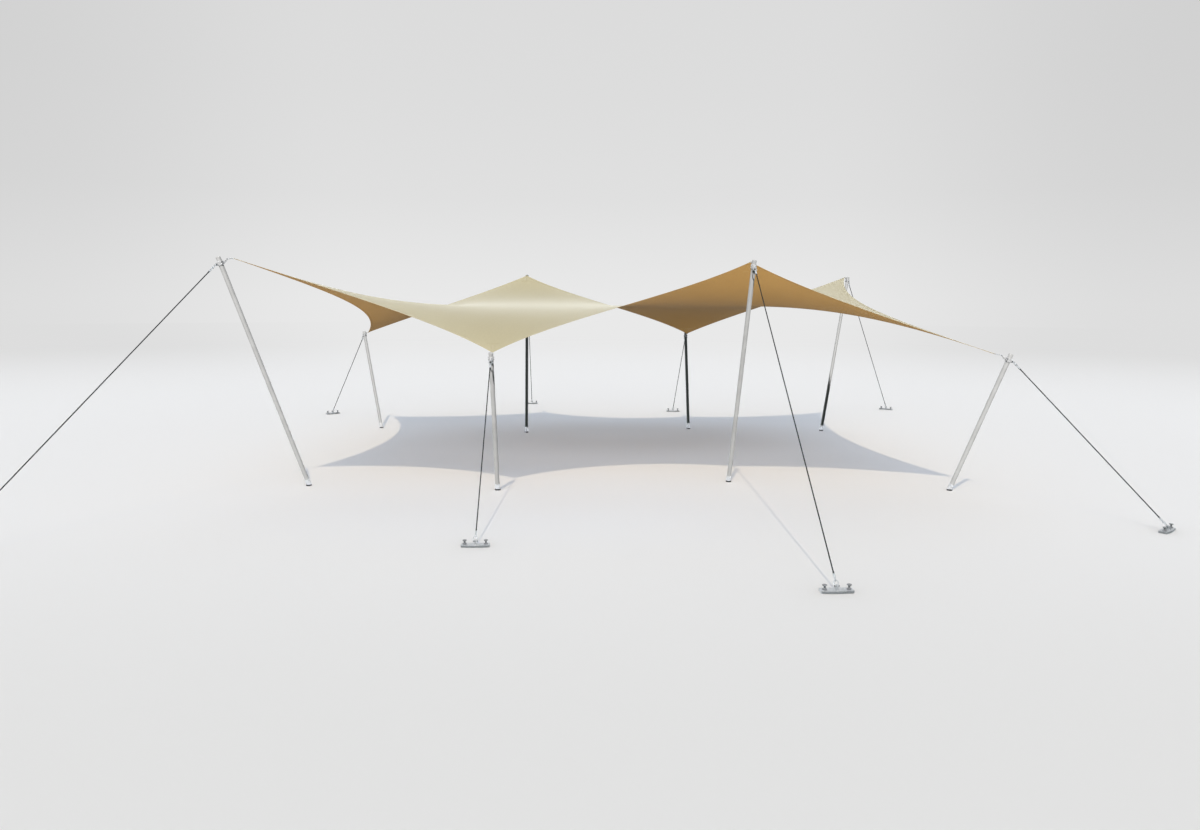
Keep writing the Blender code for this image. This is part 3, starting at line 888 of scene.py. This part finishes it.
def strap_line(tree, corner):
    """The strap's middle line over the cloth, round the link's bar and back below the cloth."""
    lift = CLOTH_THICKNESS / 2 + PATCH_STEP + STRAP_THICKNESS / 2 + 0.0003
    runs = [BAR_INSET + STRAP_START + STRAP_RUN * k / 13 for k in range(14)]
    upper, lower = ([on_cloth(tree, corner, run, 0.0, face * lift) for run in runs] for face in (1, -1))
    bend = LINK_BAR + STRAP_THICKNESS / 2 + 0.0002
    loop = []
    for k in range(13):
        angle = math.radians(80.0 + 200.0 * k / 12)
        out = corner["inward"] * math.cos(angle) + corner["up"] * math.sin(angle)
        loop.append((corner["bar"] + out * bend, out))
    return upper[::-1] + loop + [(point, -normal) for point, normal in lower]


def build_strap(name, corner, tree):
    """The webbing that carries the corner: a flat strap doubled over the cloth and looped round the link."""
    line = strap_line(tree, corner)
    half, thick = STRAP_WIDTH / 2, STRAP_THICKNESS / 2
    section = mirrored([(-half, 0.3), (-half + 0.0008, 1.0), (half - 0.0008, 1.0), (half, 0.3)])
    lengths = path_lengths(np.array([point[:] for point, _ in line]))
    bm = bmesh.new()
    rings = []
    for (point, normal), length in zip(line, lengths):
        side = (corner["across"] - normal * corner["across"].dot(normal)).normalized()
        rings.append([(bm.verts.new(point + side * y + normal * thick * z), (length, y)) for y, z in section])
    add_band(bm, rings, lambda k, s: int(k > len(rings) // 2))
    mesh = mesh_from(bm, "corner_strap", cream_strap, tan_strap, sharp_angle=40.0)
    return place("corner_strap_" + name, mesh)


def build_stitches(name, corner, tree):
    """Rows of thread: two boxes with crosses on the strap and a double row along the patch's edge."""
    strap_lift = CLOTH_THICKNESS / 2 + PATCH_STEP + STRAP_THICKNESS + 0.0004
    patch_lift = CLOTH_THICKNESS / 2 + PATCH_STEP + 0.0002
    half = STRAP_WIDTH / 2 - STITCH_INSET
    rows = []
    for start, end in STITCH_BOXES:
        near, far = BAR_INSET + start, BAR_INSET + end
        box = [(near, -half), (far, -half), (far, half), (near, half)]
        rows += [(a, b, strap_lift) for a, b in [*zip(box, box[1:] + box[:1]), box[::2], box[1::2]]]
    for inset in PATCH_SEAMS:
        depth = PATCH_DEPTH - inset
        rows.append(((depth, -PATCH_SEAM_HALF), (depth, PATCH_SEAM_HALF), patch_lift))
    bm = bmesh.new()
    for a, b, lift in rows:
        a, b = Vector(a), Vector(b)
        step = (b - a).normalized()
        for k in range(int((b - a).length / STITCH_PITCH)):
            middle = a + step * STITCH_PITCH * (k + 0.5)
            for face in (1.0, -1.0):
                line = [on_cloth(tree, corner, *(middle + step * STITCH_LENGTH * t), face * (lift + rise))[0]
                        for t, rise in ((-0.5, -0.0002), (0.0, 0.0003), (0.5, -0.0002))]
                add_sweep(bm, line, THREAD_RADIUS, 5)
    mesh = mesh_from(bm, "corner_stitches", stitch_thread, sharp_angle=60.0)
    return place("corner_stitches_" + name, mesh)


# Poles and feet

def pole_mesh(length):
    inner = POLE_RADIUS - POLE_WALL
    ease = 0.0008
    bottom = SLEEVE_FLOOR + GAP
    profile = [(inner, length - ease), (inner + ease, length), (POLE_RADIUS - ease, length),
               (POLE_RADIUS, length - ease), (POLE_RADIUS, bottom), (inner, bottom)]
    return turned_mesh("pole", pole_metal, profile, 64, closed=True)


def sleeve_mesh():
    """A moulded sleeve with raised bands, its lower end cut level with the ground."""
    bore, radius, top = POLE_RADIUS + GAP, SLEEVE_RADIUS, SLEEVE_TOP
    profile = [(0.0, SLEEVE_FLOOR), (bore, SLEEVE_FLOOR), (bore, top - 0.001), (bore + 0.001, top),
               (radius - SLEEVE_GROOVE, top), (radius - 0.0006, top - 0.0008), (radius, top - 0.002)]
    for start, end in SLEEVE_BANDS:
        profile += groove(radius, SLEEVE_GROOVE, start, end, 0.0015)
    profile += [(radius, -radius), (0.0, -radius)]
    bm = bmesh.new()
    add_turned(bm, profile, 72)
    lean = math.radians(POLE_LEAN)
    up = Vector((-math.sin(lean), 0.0, math.cos(lean)))
    bmesh.ops.bisect_plane(bm, geom=bm.verts[:] + bm.edges[:] + bm.faces[:],
                           plane_co=up * (PAD_HEIGHT + GAP), plane_no=up, clear_inner=True)
    rim = [e for e in bm.edges if e.is_boundary]
    bmesh.ops.holes_fill(bm, edges=rim, sides=0)
    bmesh.ops.bevel(bm, geom=rim, offset=0.0012, segments=2, affect="EDGES")
    bmesh.ops.dissolve_degenerate(bm, dist=0.000002, edges=bm.edges)
    return mesh_from(bm, "foot_sleeve", sleeve_plastic)


def sleeve_screws_mesh():
    profile = [(0.0, 0.0010), (0.0020, 0.0010), (0.0022, 0.0030), (0.0042, 0.0028), (0.0056, 0.0018),
               (0.0060, 0.0), (0.0, 0.0)]
    seats = [facing_y(sign * (SLEEVE_RADIUS - 0.0026), SCREW_HEIGHT, sign) for sign in (1, -1)]
    return turned_mesh("sleeve_screws", bolt_metal, profile, 28, seats)


def pad_mesh():
    """A ribbed rubber foot with a rounded rim."""
    radius, height = PAD_RADIUS, PAD_HEIGHT
    profile = [(0.0, height), (radius - 0.0065, height), (radius - 0.0035, height - 0.0008),
               (radius - 0.0012, height - 0.0028), (radius, height - 0.0055)]
    for top in PAD_RIBS:
        profile += groove(radius, 0.0012, top, top - 0.0026, 0.0008)
    profile += [(radius, 0.0015), (radius - 0.0015, 0.0), (0.0, 0.0)]
    return turned_mesh("foot_pad", pad_rubber, profile, 72, sharp_angle=40.0)


# Head collar

def horn_outline():
    """The curved arm, from the collar's side along its top, round its end and back along its foot."""
    root = Vector((-(COLLAR_BORE + COLLAR_WALL / 2), -0.005))
    bend, end = Vector(HORN_BEND), Vector((-HORN_REACH, HORN_RISE))
    top, foot = [], []
    for t in (k / 12 for k in range(11)):
        middle = root * (1 - t) ** 2 + 2 * bend * t * (1 - t) + end * t ** 2
        along = ((bend - root) * (1 - t) + (end - bend) * t).normalized()
        side = Vector((along.y, -along.x)) * (HORN_ROOT_SWELL * (1 - t) ** 1.6 + HORN_HALF_WIDTH)
        top.append(tuple(middle + side))
        foot.append(tuple(middle - side))
    angle = math.degrees(math.atan2(end.y - bend.y, end.x - bend.x))
    return top + arc(end.x, end.y, HORN_END_RADIUS, angle - 125, angle + 125, 22) + foot[::-1]


def collar_mesh():
    """The welded collar with its curved arm and its eye, in the frame of the pole's head."""
    half = COLLAR_HEIGHT / 2
    ease = 0.0015
    bm = bmesh.new()
    ring = mirrored([(COLLAR_BORE, half - 0.0005), (COLLAR_BORE + 0.0005, half), (COLLAR_RADIUS - ease, half),
                     (COLLAR_RADIUS, half - ease)])
    add_turned(bm, ring, 64, closed=True)
    add_outline(bm, [horn_outline(), circle(-HORN_REACH, HORN_RISE, ARM_HOLE_RADIUS)], ARM_THICKNESS)
    root = COLLAR_BORE + COLLAR_WALL / 2
    eye = [(root, -ARM_ROOT_HEIGHT / 2), *arc(EYE_REACH, 0.0, EYE_RADIUS, -75, 75, 18),
           (root, ARM_ROOT_HEIGHT / 2)]
    add_outline(bm, [eye, circle(EYE_REACH, 0.0, PIN_RADIUS + GAP)], LUG_THICKNESS)
    height = ARM_ROOT_HEIGHT / 2 - 0.002
    for way, thickness in ((-1, ARM_THICKNESS), (1, LUG_THICKNESS)):
        for side in (-1, 1):
            y = side * (thickness / 2 + 0.0006)
            x = way * (math.sqrt(COLLAR_RADIUS ** 2 - y ** 2) + 0.0006)
            add_weld(bm, (x, y, -height), (x, y, height))
    return mesh_from(bm, "head_collar", fitting_metal)


def collar_bolts_mesh():
    bm = bmesh.new()
    for sign in (1, -1):
        for z in (COLLAR_BOLT_RISE, -COLLAR_BOLT_RISE):
            add_bolt(bm, COLLAR_BOLT, facing_y(sign * (COLLAR_RADIUS - 0.0006), z, sign))
    return mesh_from(bm, "collar_bolts", bolt_metal)


# Ropes and shackles, along +Z from the lower pin at the origin

def shackle_part(bm, seat):
    """A bow shackle with its two eyes."""
    jaw, bar = SHACKLE_JAW, SHACKLE_BAR
    legs = [(jaw, 0.0035), *arc(0.0, SHACKLE_RISE, SHACKLE_BOW, -35, 215, 30), (-jaw, 0.0035)]
    add_sweep(bm, [(0.0, y, height) for y, height in legs], bar, 16, seat)
    eye = mirrored([(0.0086, bar - 0.0008), (0.0094, bar), (0.0122, bar), (0.0132, bar - 0.0012)])
    for sign in (1, -1):
        add_turned(bm, eye, 32, seat @ facing_y(sign * jaw, 0.0), closed=True)


def pin_part(bm, z):
    """The shackle's bolt with its head and nut."""
    end = PIN_LENGTH / 2
    shaft = mirrored([(0.0, end), (PIN_RADIUS - 0.001, end), (PIN_RADIUS - 0.0002, end - 0.0008)])
    add_turned(bm, shaft, 28, facing_y(0.0, z))
    seat = SHACKLE_JAW + SHACKLE_BAR + GAP
    add_hex(bm, PIN_HEAD, 0.0066, facing_y(seat, z))
    add_hex(bm, PIN_HEAD, 0.0062, facing_y(-seat, z, -1))


def terminal_part(bm, seat):
    """A pressed socket whose eye hangs in the shackle's bow."""
    eye_height = SHACKLE_RISE + SHACKLE_BOW - SHACKLE_BAR + 0.009
    eye = [(TERMINAL_EYE * math.cos(a), 0.0, eye_height + TERMINAL_EYE * math.sin(a))
           for a in (2 * math.pi * k / 36 for k in range(36))]
    add_sweep(bm, eye, TERMINAL_EYE_BAR, 14, seat, cyclic=True)
    start, end, full = eye_height + 0.012, TERMINAL_END, TERMINAL_RADIUS
    profile = [(0.0, start), (0.0075, start), (0.0085, start + 0.006), (full - 0.001, start + 0.014),
               (full, start + 0.017)]
    for low in (start + 0.044, start + 0.054, start + 0.064):
        profile += groove(full, 0.0011, low, low + 0.005, 0.001)
    profile += [(full, end - 0.014), (0.0105, end - 0.001), (0.0098, end), (0.0, end)]
    add_turned(bm, profile, 40, seat)


def wrap_part(bm, seat):
    """The shrink sleeve over the rope's end."""
    low = TERMINAL_END
    add_turned(bm, [(0.0, low - 0.001), (0.0102, low - 0.001), (0.0106, low + 0.002), (0.0104, low + 0.030),
                    (0.0094, low + WRAP_LENGTH), (0.0, low + WRAP_LENGTH)], 24, seat)


def rope_mesh(length):
    """Three-strand rope, one long helix of each strand."""
    start = TERMINAL_END - 0.01
    strand = ROPE_RADIUS / (1.0 + 2.0 / math.sqrt(3.0))
    helix = ROPE_RADIUS - strand
    sides = 7
    count = int((length - 2 * start) / LAY_LENGTH * 11)
    height = np.linspace(start, length - start, count)
    slope = 2 * np.pi * helix / LAY_LENGTH
    around = (2 * np.pi * np.arange(sides) / sides)[None, :, None]
    vertices, faces = [], []
    for k in range(3):
        turn = 2 * np.pi * (height / LAY_LENGTH + k / 3)
        out = np.stack([np.cos(turn), np.sin(turn), np.zeros(count)], axis=1)
        along = np.stack([-np.sin(turn) * slope, np.cos(turn) * slope, np.ones(count)], axis=1)
        along /= np.linalg.norm(along, axis=1)[:, None]
        middle = out * helix
        middle[:, 2] = height
        rings = middle[:, None] + strand * (np.cos(around) * out[:, None]
                                            + np.sin(around) * np.cross(along, out)[:, None])
        vertices.append(rings.reshape(-1, 3))
        index = (k * count + np.arange(count))[:, None] * sides + np.arange(sides)
        following = np.roll(index, -1, axis=1)
        quads = np.stack([index[:-1], following[:-1], following[1:], index[1:]], axis=-1).reshape(-1, 4)
        faces += quads.tolist() + [index[0][::-1].tolist(), index[-1].tolist()]
    mesh = bpy.data.meshes.new("guy_rope")
    mesh.from_pydata(np.concatenate(vertices).tolist(), [], faces)
    return smoothed(mesh, 75.0, rope_fibre)


def guy_meshes(length):
    """The rope, its two shackles, pins and terminals, and the shrink sleeves over the rope's ends."""
    shackles, pins, terminals, wraps = bmesh.new(), bmesh.new(), bmesh.new(), bmesh.new()
    for z, up in ((0.0, 1), (length, -1)):
        seat = move(z=z) @ Matrix.Diagonal((1.0, 1.0, up, 1.0))
        shackle_part(shackles, seat)
        pin_part(pins, z)
        terminal_part(terminals, seat)
        wrap_part(wraps, seat)
    return {
        "rope": rope_mesh(length),
        "shackles": mesh_from(shackles, "guy_shackles", bright_metal),
        "pins": mesh_from(pins, "guy_pins", pin_metal),
        "terminals": mesh_from(terminals, "guy_terminals", bright_metal),
        "wraps": mesh_from(wraps, "guy_wraps", shrink_plastic),
    }


# Ground plates

def extrude(bm, faces, rise):
    """Extrudes faces straight up."""
    grown = bmesh.ops.extrude_face_region(bm, geom=faces)["geom"]
    vertices = [part for part in grown if isinstance(part, bmesh.types.BMVert)]
    bmesh.ops.translate(bm, vec=(0.0, 0.0, rise), verts=vertices)


def plate_mesh():
    """A pressed plate with a turned-down rim, its outer edge slightly bowed, with the welded lug."""
    half_width, half_length = PLATE_WIDTH / 2, PLATE_LENGTH / 2
    outer_edge = [(half_width - PLATE_BOW * t ** 2, half_length * t)
                  for t in (2 * k / 10 - 1 for k in range(11))]
    outline = rounded([(-half_width, -half_length), *outer_edge, (-half_width, half_length)],
                      PLATE_CORNER, 4)
    bm = bmesh.new()
    extrude(bm, [bm.faces.new([bm.verts.new((x, y, 0.0)) for x, y in outline])], PLATE_HEIGHT)
    bmesh.ops.recalc_face_normals(bm, faces=bm.faces)
    under = [f for f in bm.faces if f.normal.z < -0.9]
    bmesh.ops.inset_region(bm, faces=under, thickness=PLATE_WALL, use_even_offset=True)
    under = [f for f in bm.faces if f.normal.z < -0.9 and len(f.verts) == len(outline)]
    extrude(bm, under, PLATE_HEIGHT - PLATE_WALL)
    bmesh.ops.delete(bm, geom=[f for f in under if f.is_valid], context="FACES_ONLY")
    rim = [e for e in bm.edges if all(abs(v.co.z - PLATE_HEIGHT) < 1e-6 for v in e.verts)]
    bmesh.ops.bevel(bm, geom=rim, offset=PLATE_EASE, segments=3, profile=0.5, affect="EDGES")
    base = PLATE_HEIGHT - 0.001
    lug = [(-LUG_HALF_BASE, base), (LUG_HALF_BASE, base), *arc(0.0, LUG_HOLE_HEIGHT, EYE_RADIUS, 10, 170, 18)]
    add_outline(bm, [lug, circle(0.0, LUG_HOLE_HEIGHT, PIN_RADIUS + GAP)], LUG_THICKNESS)
    end, z = LUG_HALF_BASE - 0.002, PLATE_HEIGHT + 0.0008
    for side in (-1, 1):
        y = side * (LUG_THICKNESS / 2 + 0.0008)
        add_weld(bm, (-end, y, z), (end, y, z), PLATE_WELD)
    return mesh_from(bm, "ground_plate", ground_metal)


def pegs_mesh():
    """The two driven pegs' spool-shaped heads."""
    top, base = PLATE_HEIGHT + PEG_HEIGHT, PLATE_HEIGHT + GAP
    third, flange, waist = PEG_HEIGHT / 3, PEG_FLANGE, PEG_WAIST
    profile = [(0.0, top - 0.002), (0.008, top - 0.002), (0.0095, top), (flange - 0.002, top),
               (flange, top - 0.002), (flange, top - third / 2 + 0.001), (flange - 0.0015, top - third / 2),
               (waist + 0.004, top - 0.8 * third), (waist, top - third), (waist, top - 2 * third),
               (waist + 0.004, top - 2.2 * third), (flange - 0.0015, top - 2.5 * third),
               (flange, top - 2.5 * third - 0.001), (flange, base), (0.0, base)]
    seats = [move(y=side * PEG_SPACING / 2) for side in (-1, 1)]
    return turned_mesh("ground_pegs", peg_metal, profile, 48, seats)


# Assembly

def build_cloth():
    """The membrane with its hems, patches, straps and stitches; returns them and the links."""
    membrane = build_membrane()
    edges = {}
    for bay, words in enumerate(("left", "middle", "right")):
        cells = slice(bay * BAY_CELLS, (bay + 1) * BAY_CELLS + 1)
        edges["front_" + words] = form[cells, 0], form[cells, 1]
        edges["back_" + words] = form[cells, -1], form[cells, -2]
    edges["left_end"] = form[0], form[1]
    edges["right_end"] = form[-1], form[-2]
    extras = [build_hem("hem_" + name, *lines) for name, lines in edges.items()]
    surface = cloth_grid()
    tree = BVHTree.FromBMesh(surface)
    surface.free()
    links = []
    for name, corner in corners.items():
        links.append(build_link(name, corner))
        extras += [build_patch(name, corner), build_strap(name, corner, tree),
                   build_stitches(name, corner, tree)]
    return [membrane] + extras, links


def place_at(name, kind, mesh, seat, node=None):
    """Adds a station's piece at one of its places, for the CAD node of that kind where one is named."""
    return place(kind + "_" + name, mesh, stations[name][seat], node and node + "_" + name)


def build_stations():
    """Poles, feet, collars, guys and plates; returns the front poles, the two end ones behind, and fittings.

    A pole goes with its collar and bolts.
    """
    poles = {length: pole_mesh(length) for length in dict.fromkeys(s["length"] for s in stations.values())}
    sleeve, screws, pad = sleeve_mesh(), sleeve_screws_mesh(), pad_mesh()
    collar, bolts = collar_mesh(), collar_bolts_mesh()
    plate, pegs = plate_mesh(), pegs_mesh()
    front, back, fittings = [], [], []
    guys = {}
    for name, station in stations.items():
        head = [place_at(name, "pole_tube", poles[station["length"]], "pole", "pole"),
                place_at(name, "collar", collar, "collar", "head_collar"),
                place_at(name, "collar_bolts", bolts, "collar")]
        if name.startswith("front"):
            front += head
        elif "mid" not in name:
            back += head
        place_at(name, "sleeve", sleeve, "pole", "foot_sleeve")
        place_at(name, "pad", pad, "pad", "foot_pad")
        fittings += [place_at(name, "sleeve_screws", screws, "pole"),
                     place_at(name, "plate", plate, "plate", "ground_plate"),
                     place_at(name, "pegs", pegs, "plate")]
        key = round(station["rope_length"], 6)
        if key not in guys:
            guys[key] = guy_meshes(station["rope_length"])
        for kind, mesh in guys[key].items():
            fibre = kind in ("rope", "wraps")
            piece = place_at(name, "guy_" + kind + "_of", mesh,
                             "rope", "guy_rope" if kind == "rope" else None)
            if not fibre:
                fittings.append(piece)
    return front, back, fittings


# Stage

def build_floor():
    """A pale floor that turns into the backdrop far out, with painted light and painted shade in patches near
    the tent.
    """
    tree = shade("floor_paint", Roughness=0.9, Specular_IOR_Level=0.0)
    place_on = tree.coords("Object")
    x, y, _ = tree.split(place_on)
    paint = tree.mix(tree.ease(y, *FLOOR_BREAK), FLOOR_NEAR, FLOOR_FAR)
    # each patch paints light or shade into the floor's colour
    for middle, reach, share, painted_tint in FLOOR_PAINTED_LIGHT_AND_SHADE:
        patch = tree.scaled(place_on, tuple(1.0 / r for r in reach),
                            tuple(-m / r for m, r in zip(middle, reach)))
        paint = tree.mix(tree.ease(tree.length(patch), *share), painted_tint, paint)
    material = tree.paint(Base_Color=paint)
    distance = tree.length(place_on)
    aside = tree.math("DIVIDE", tree.math("ABSOLUTE", x), distance)
    glow = tree.make("Emission", {"Color": (HORIZON,) * 3, "Strength": tree.ease(aside, *BACKDROP_SIDES)})
    blend = tree.make("MixShader", {0: tree.ease(distance, *FLOOR_FADE),
                                    1: tree.nodes["Principled BSDF"].outputs[0], 2: glow})
    tree.put(tree.nodes["Material Output"].inputs["Surface"], blend)
    material.cycles.emission_sampling = "NONE"
    bm = bmesh.new()
    bmesh.ops.create_circle(bm, cap_ends=True, segments=96, radius=FLOOR_RADIUS)
    mesh = bpy.data.meshes.new("floor")
    bm.to_mesh(mesh)
    bm.free()
    mesh.materials.append(material)
    floor = add_object("floor", mesh)
    floor.location = FLOOR_MIDDLE
    floor.visible_glossy = False


def add_lamp(name, kind, power, colour, pieces=()):
    """Adds a lamp that lights everything, or only the pieces given."""
    data = bpy.data.lights.new(name, kind)
    data.energy = power
    data.color = colour
    lamp = add_object(name, data)
    if pieces:
        lit = bpy.data.collections.new(name + "_lights")
        for piece in pieces:
            lit.objects.link(piece)
        lamp.light_linking.receiver_collection = lit
    return lamp


def aim_lamp(lamp, way):
    lamp.rotation_euler = Vector(way).to_track_quat("-Z", "Y").to_euler()


def add_sun(name, power, colour, shift, pieces=()):
    sun = add_lamp(name, "SUN", power, colour, pieces)
    sun.data.angle = math.radians(SUN_ANGLE)
    aim_lamp(sun, (*shift, -1.0))
    return sun


def build_lamps(cloth, front_poles, back_poles, fittings):
    """The warm key light, its shine on the metal, and low cards that light the cloth as the ground would."""
    add_sun("sun", SUN_STRENGTH, SUN_COLOUR, SUN_SHIFT).visible_glossy = False
    add_sun("sun_on_fittings", FITTINGS_GLINT, GLINT_COLOUR, SUN_SHIFT, fittings)
    add_sun("sun_on_front_poles", FRONT_POLES_GLINT, GLINT_COLOUR, POLE_SHIFT, front_poles)
    add_sun("sun_on_back_poles", BACK_POLES_GLINT, GLINT_COLOUR, POLE_SHIFT, back_poles)
    for k, (spot, target, size, spread, power) in enumerate(BOUNCE_CARDS):
        card = add_lamp("bounce_card_%d" % (k + 1), "AREA", power, (1.0, 1.0, 1.0), cloth)
        card.data.shape = "RECTANGLE"
        card.data.size, card.data.size_y = size
        card.data.spread = math.radians(spread)
        card.data.cycles.max_bounces = 0
        card.location = spot
        aim_lamp(card, Vector(target) - Vector(spot))
        card.visible_camera = False
        card.visible_glossy = False


def build_world():
    """A bluish dome behind a plain backdrop; metal mirrors a darker studio, pale at its far end."""
    world = bpy.data.worlds.new("studio")
    tree = Nodes(world)
    x, y, height = tree.split(tree.coords("Generated"))
    aside = tree.math("ABSOLUTE", x)
    sky = tree.mix(tree.ease(height, *SKY_BREAK), SKY_LOW, SKY_HIGH)
    share = tree.math("MULTIPLY", tree.ease(y, *SKY_FRONT), tree.ease(aside, *SKY_SIDES))
    sky = tree.make("VectorMath", {0: sky, "Scale": share}, operation="SCALE")
    rise = math.radians(SOFTBOX_HEIGHT)
    towards = tree.weighed((height, math.sin(rise)), (tree.math("ABSOLUTE", y), math.cos(rise)))
    box = tree.math("MULTIPLY", tree.ease(towards, *SOFTBOX_EDGE), tree.ease(y, *SOFTBOX_SHARES))
    sky = tree.mix(1.0, sky, tree.mix(box, (0.0, 0.0, 0.0), SOFTBOX_COLOUR), "ADD")
    studio = tree.ease(tree.math("MULTIPLY_ADD", height, MIRRORED_RISE, y), *MIRRORED_BREAK)
    studio = tree.mix(studio, MIRRORED_DARK, MIRRORED_LIGHT)
    backdrop = tree.make("ValToRGB", {"Fac": height}, "Color")
    stops = backdrop.node.color_ramp.elements
    for position, grey in BACKDROP:
        stops.new(position).color = (grey, grey, grey, 1.0)
    stops.remove(stops[0])
    stops.remove(stops[-1])
    wall = tree.mix(tree.ease(aside, *BACKDROP_SIDES), (0.0, 0.0, 0.0), backdrop)
    rays = tree.nodes.new("ShaderNodeLightPath").outputs
    tree.put(tree.nodes["Background"].inputs["Color"],
             tree.mix(rays["Is Camera Ray"], tree.mix(rays["Is Glossy Ray"], sky, studio), wall))
    world.cycles.sampling_method = "NONE"
    bpy.context.scene.world = world


def build_camera():
    data = bpy.data.cameras.new("camera")
    data.sensor_fit = "HORIZONTAL"
    data.sensor_width = SENSOR_WIDTH
    data.lens = FOCAL_PIXELS * SENSOR_WIDTH / PHOTO_WIDTH
    data.clip_end = VIEW_REACH
    camera = add_object("camera", data)
    camera.matrix_world = (Matrix.Translation(CAMERA_PLACE) @ turned(-CAMERA_YAW, "Z")
                           @ turned(90.0 - CAMERA_PITCH, "X") @ turned(CAMERA_ROLL, "Z"))
    bpy.context.scene.camera = camera


bpy.context.scene.view_settings.view_transform = "Standard"
build_camera()
build_floor()
build_world()
cloth, links = build_cloth()
front_poles, back_poles, fittings = build_stations()
for piece in cloth:
    piece.visible_glossy = False
build_lamps(cloth, front_poles, back_poles, fittings + links)
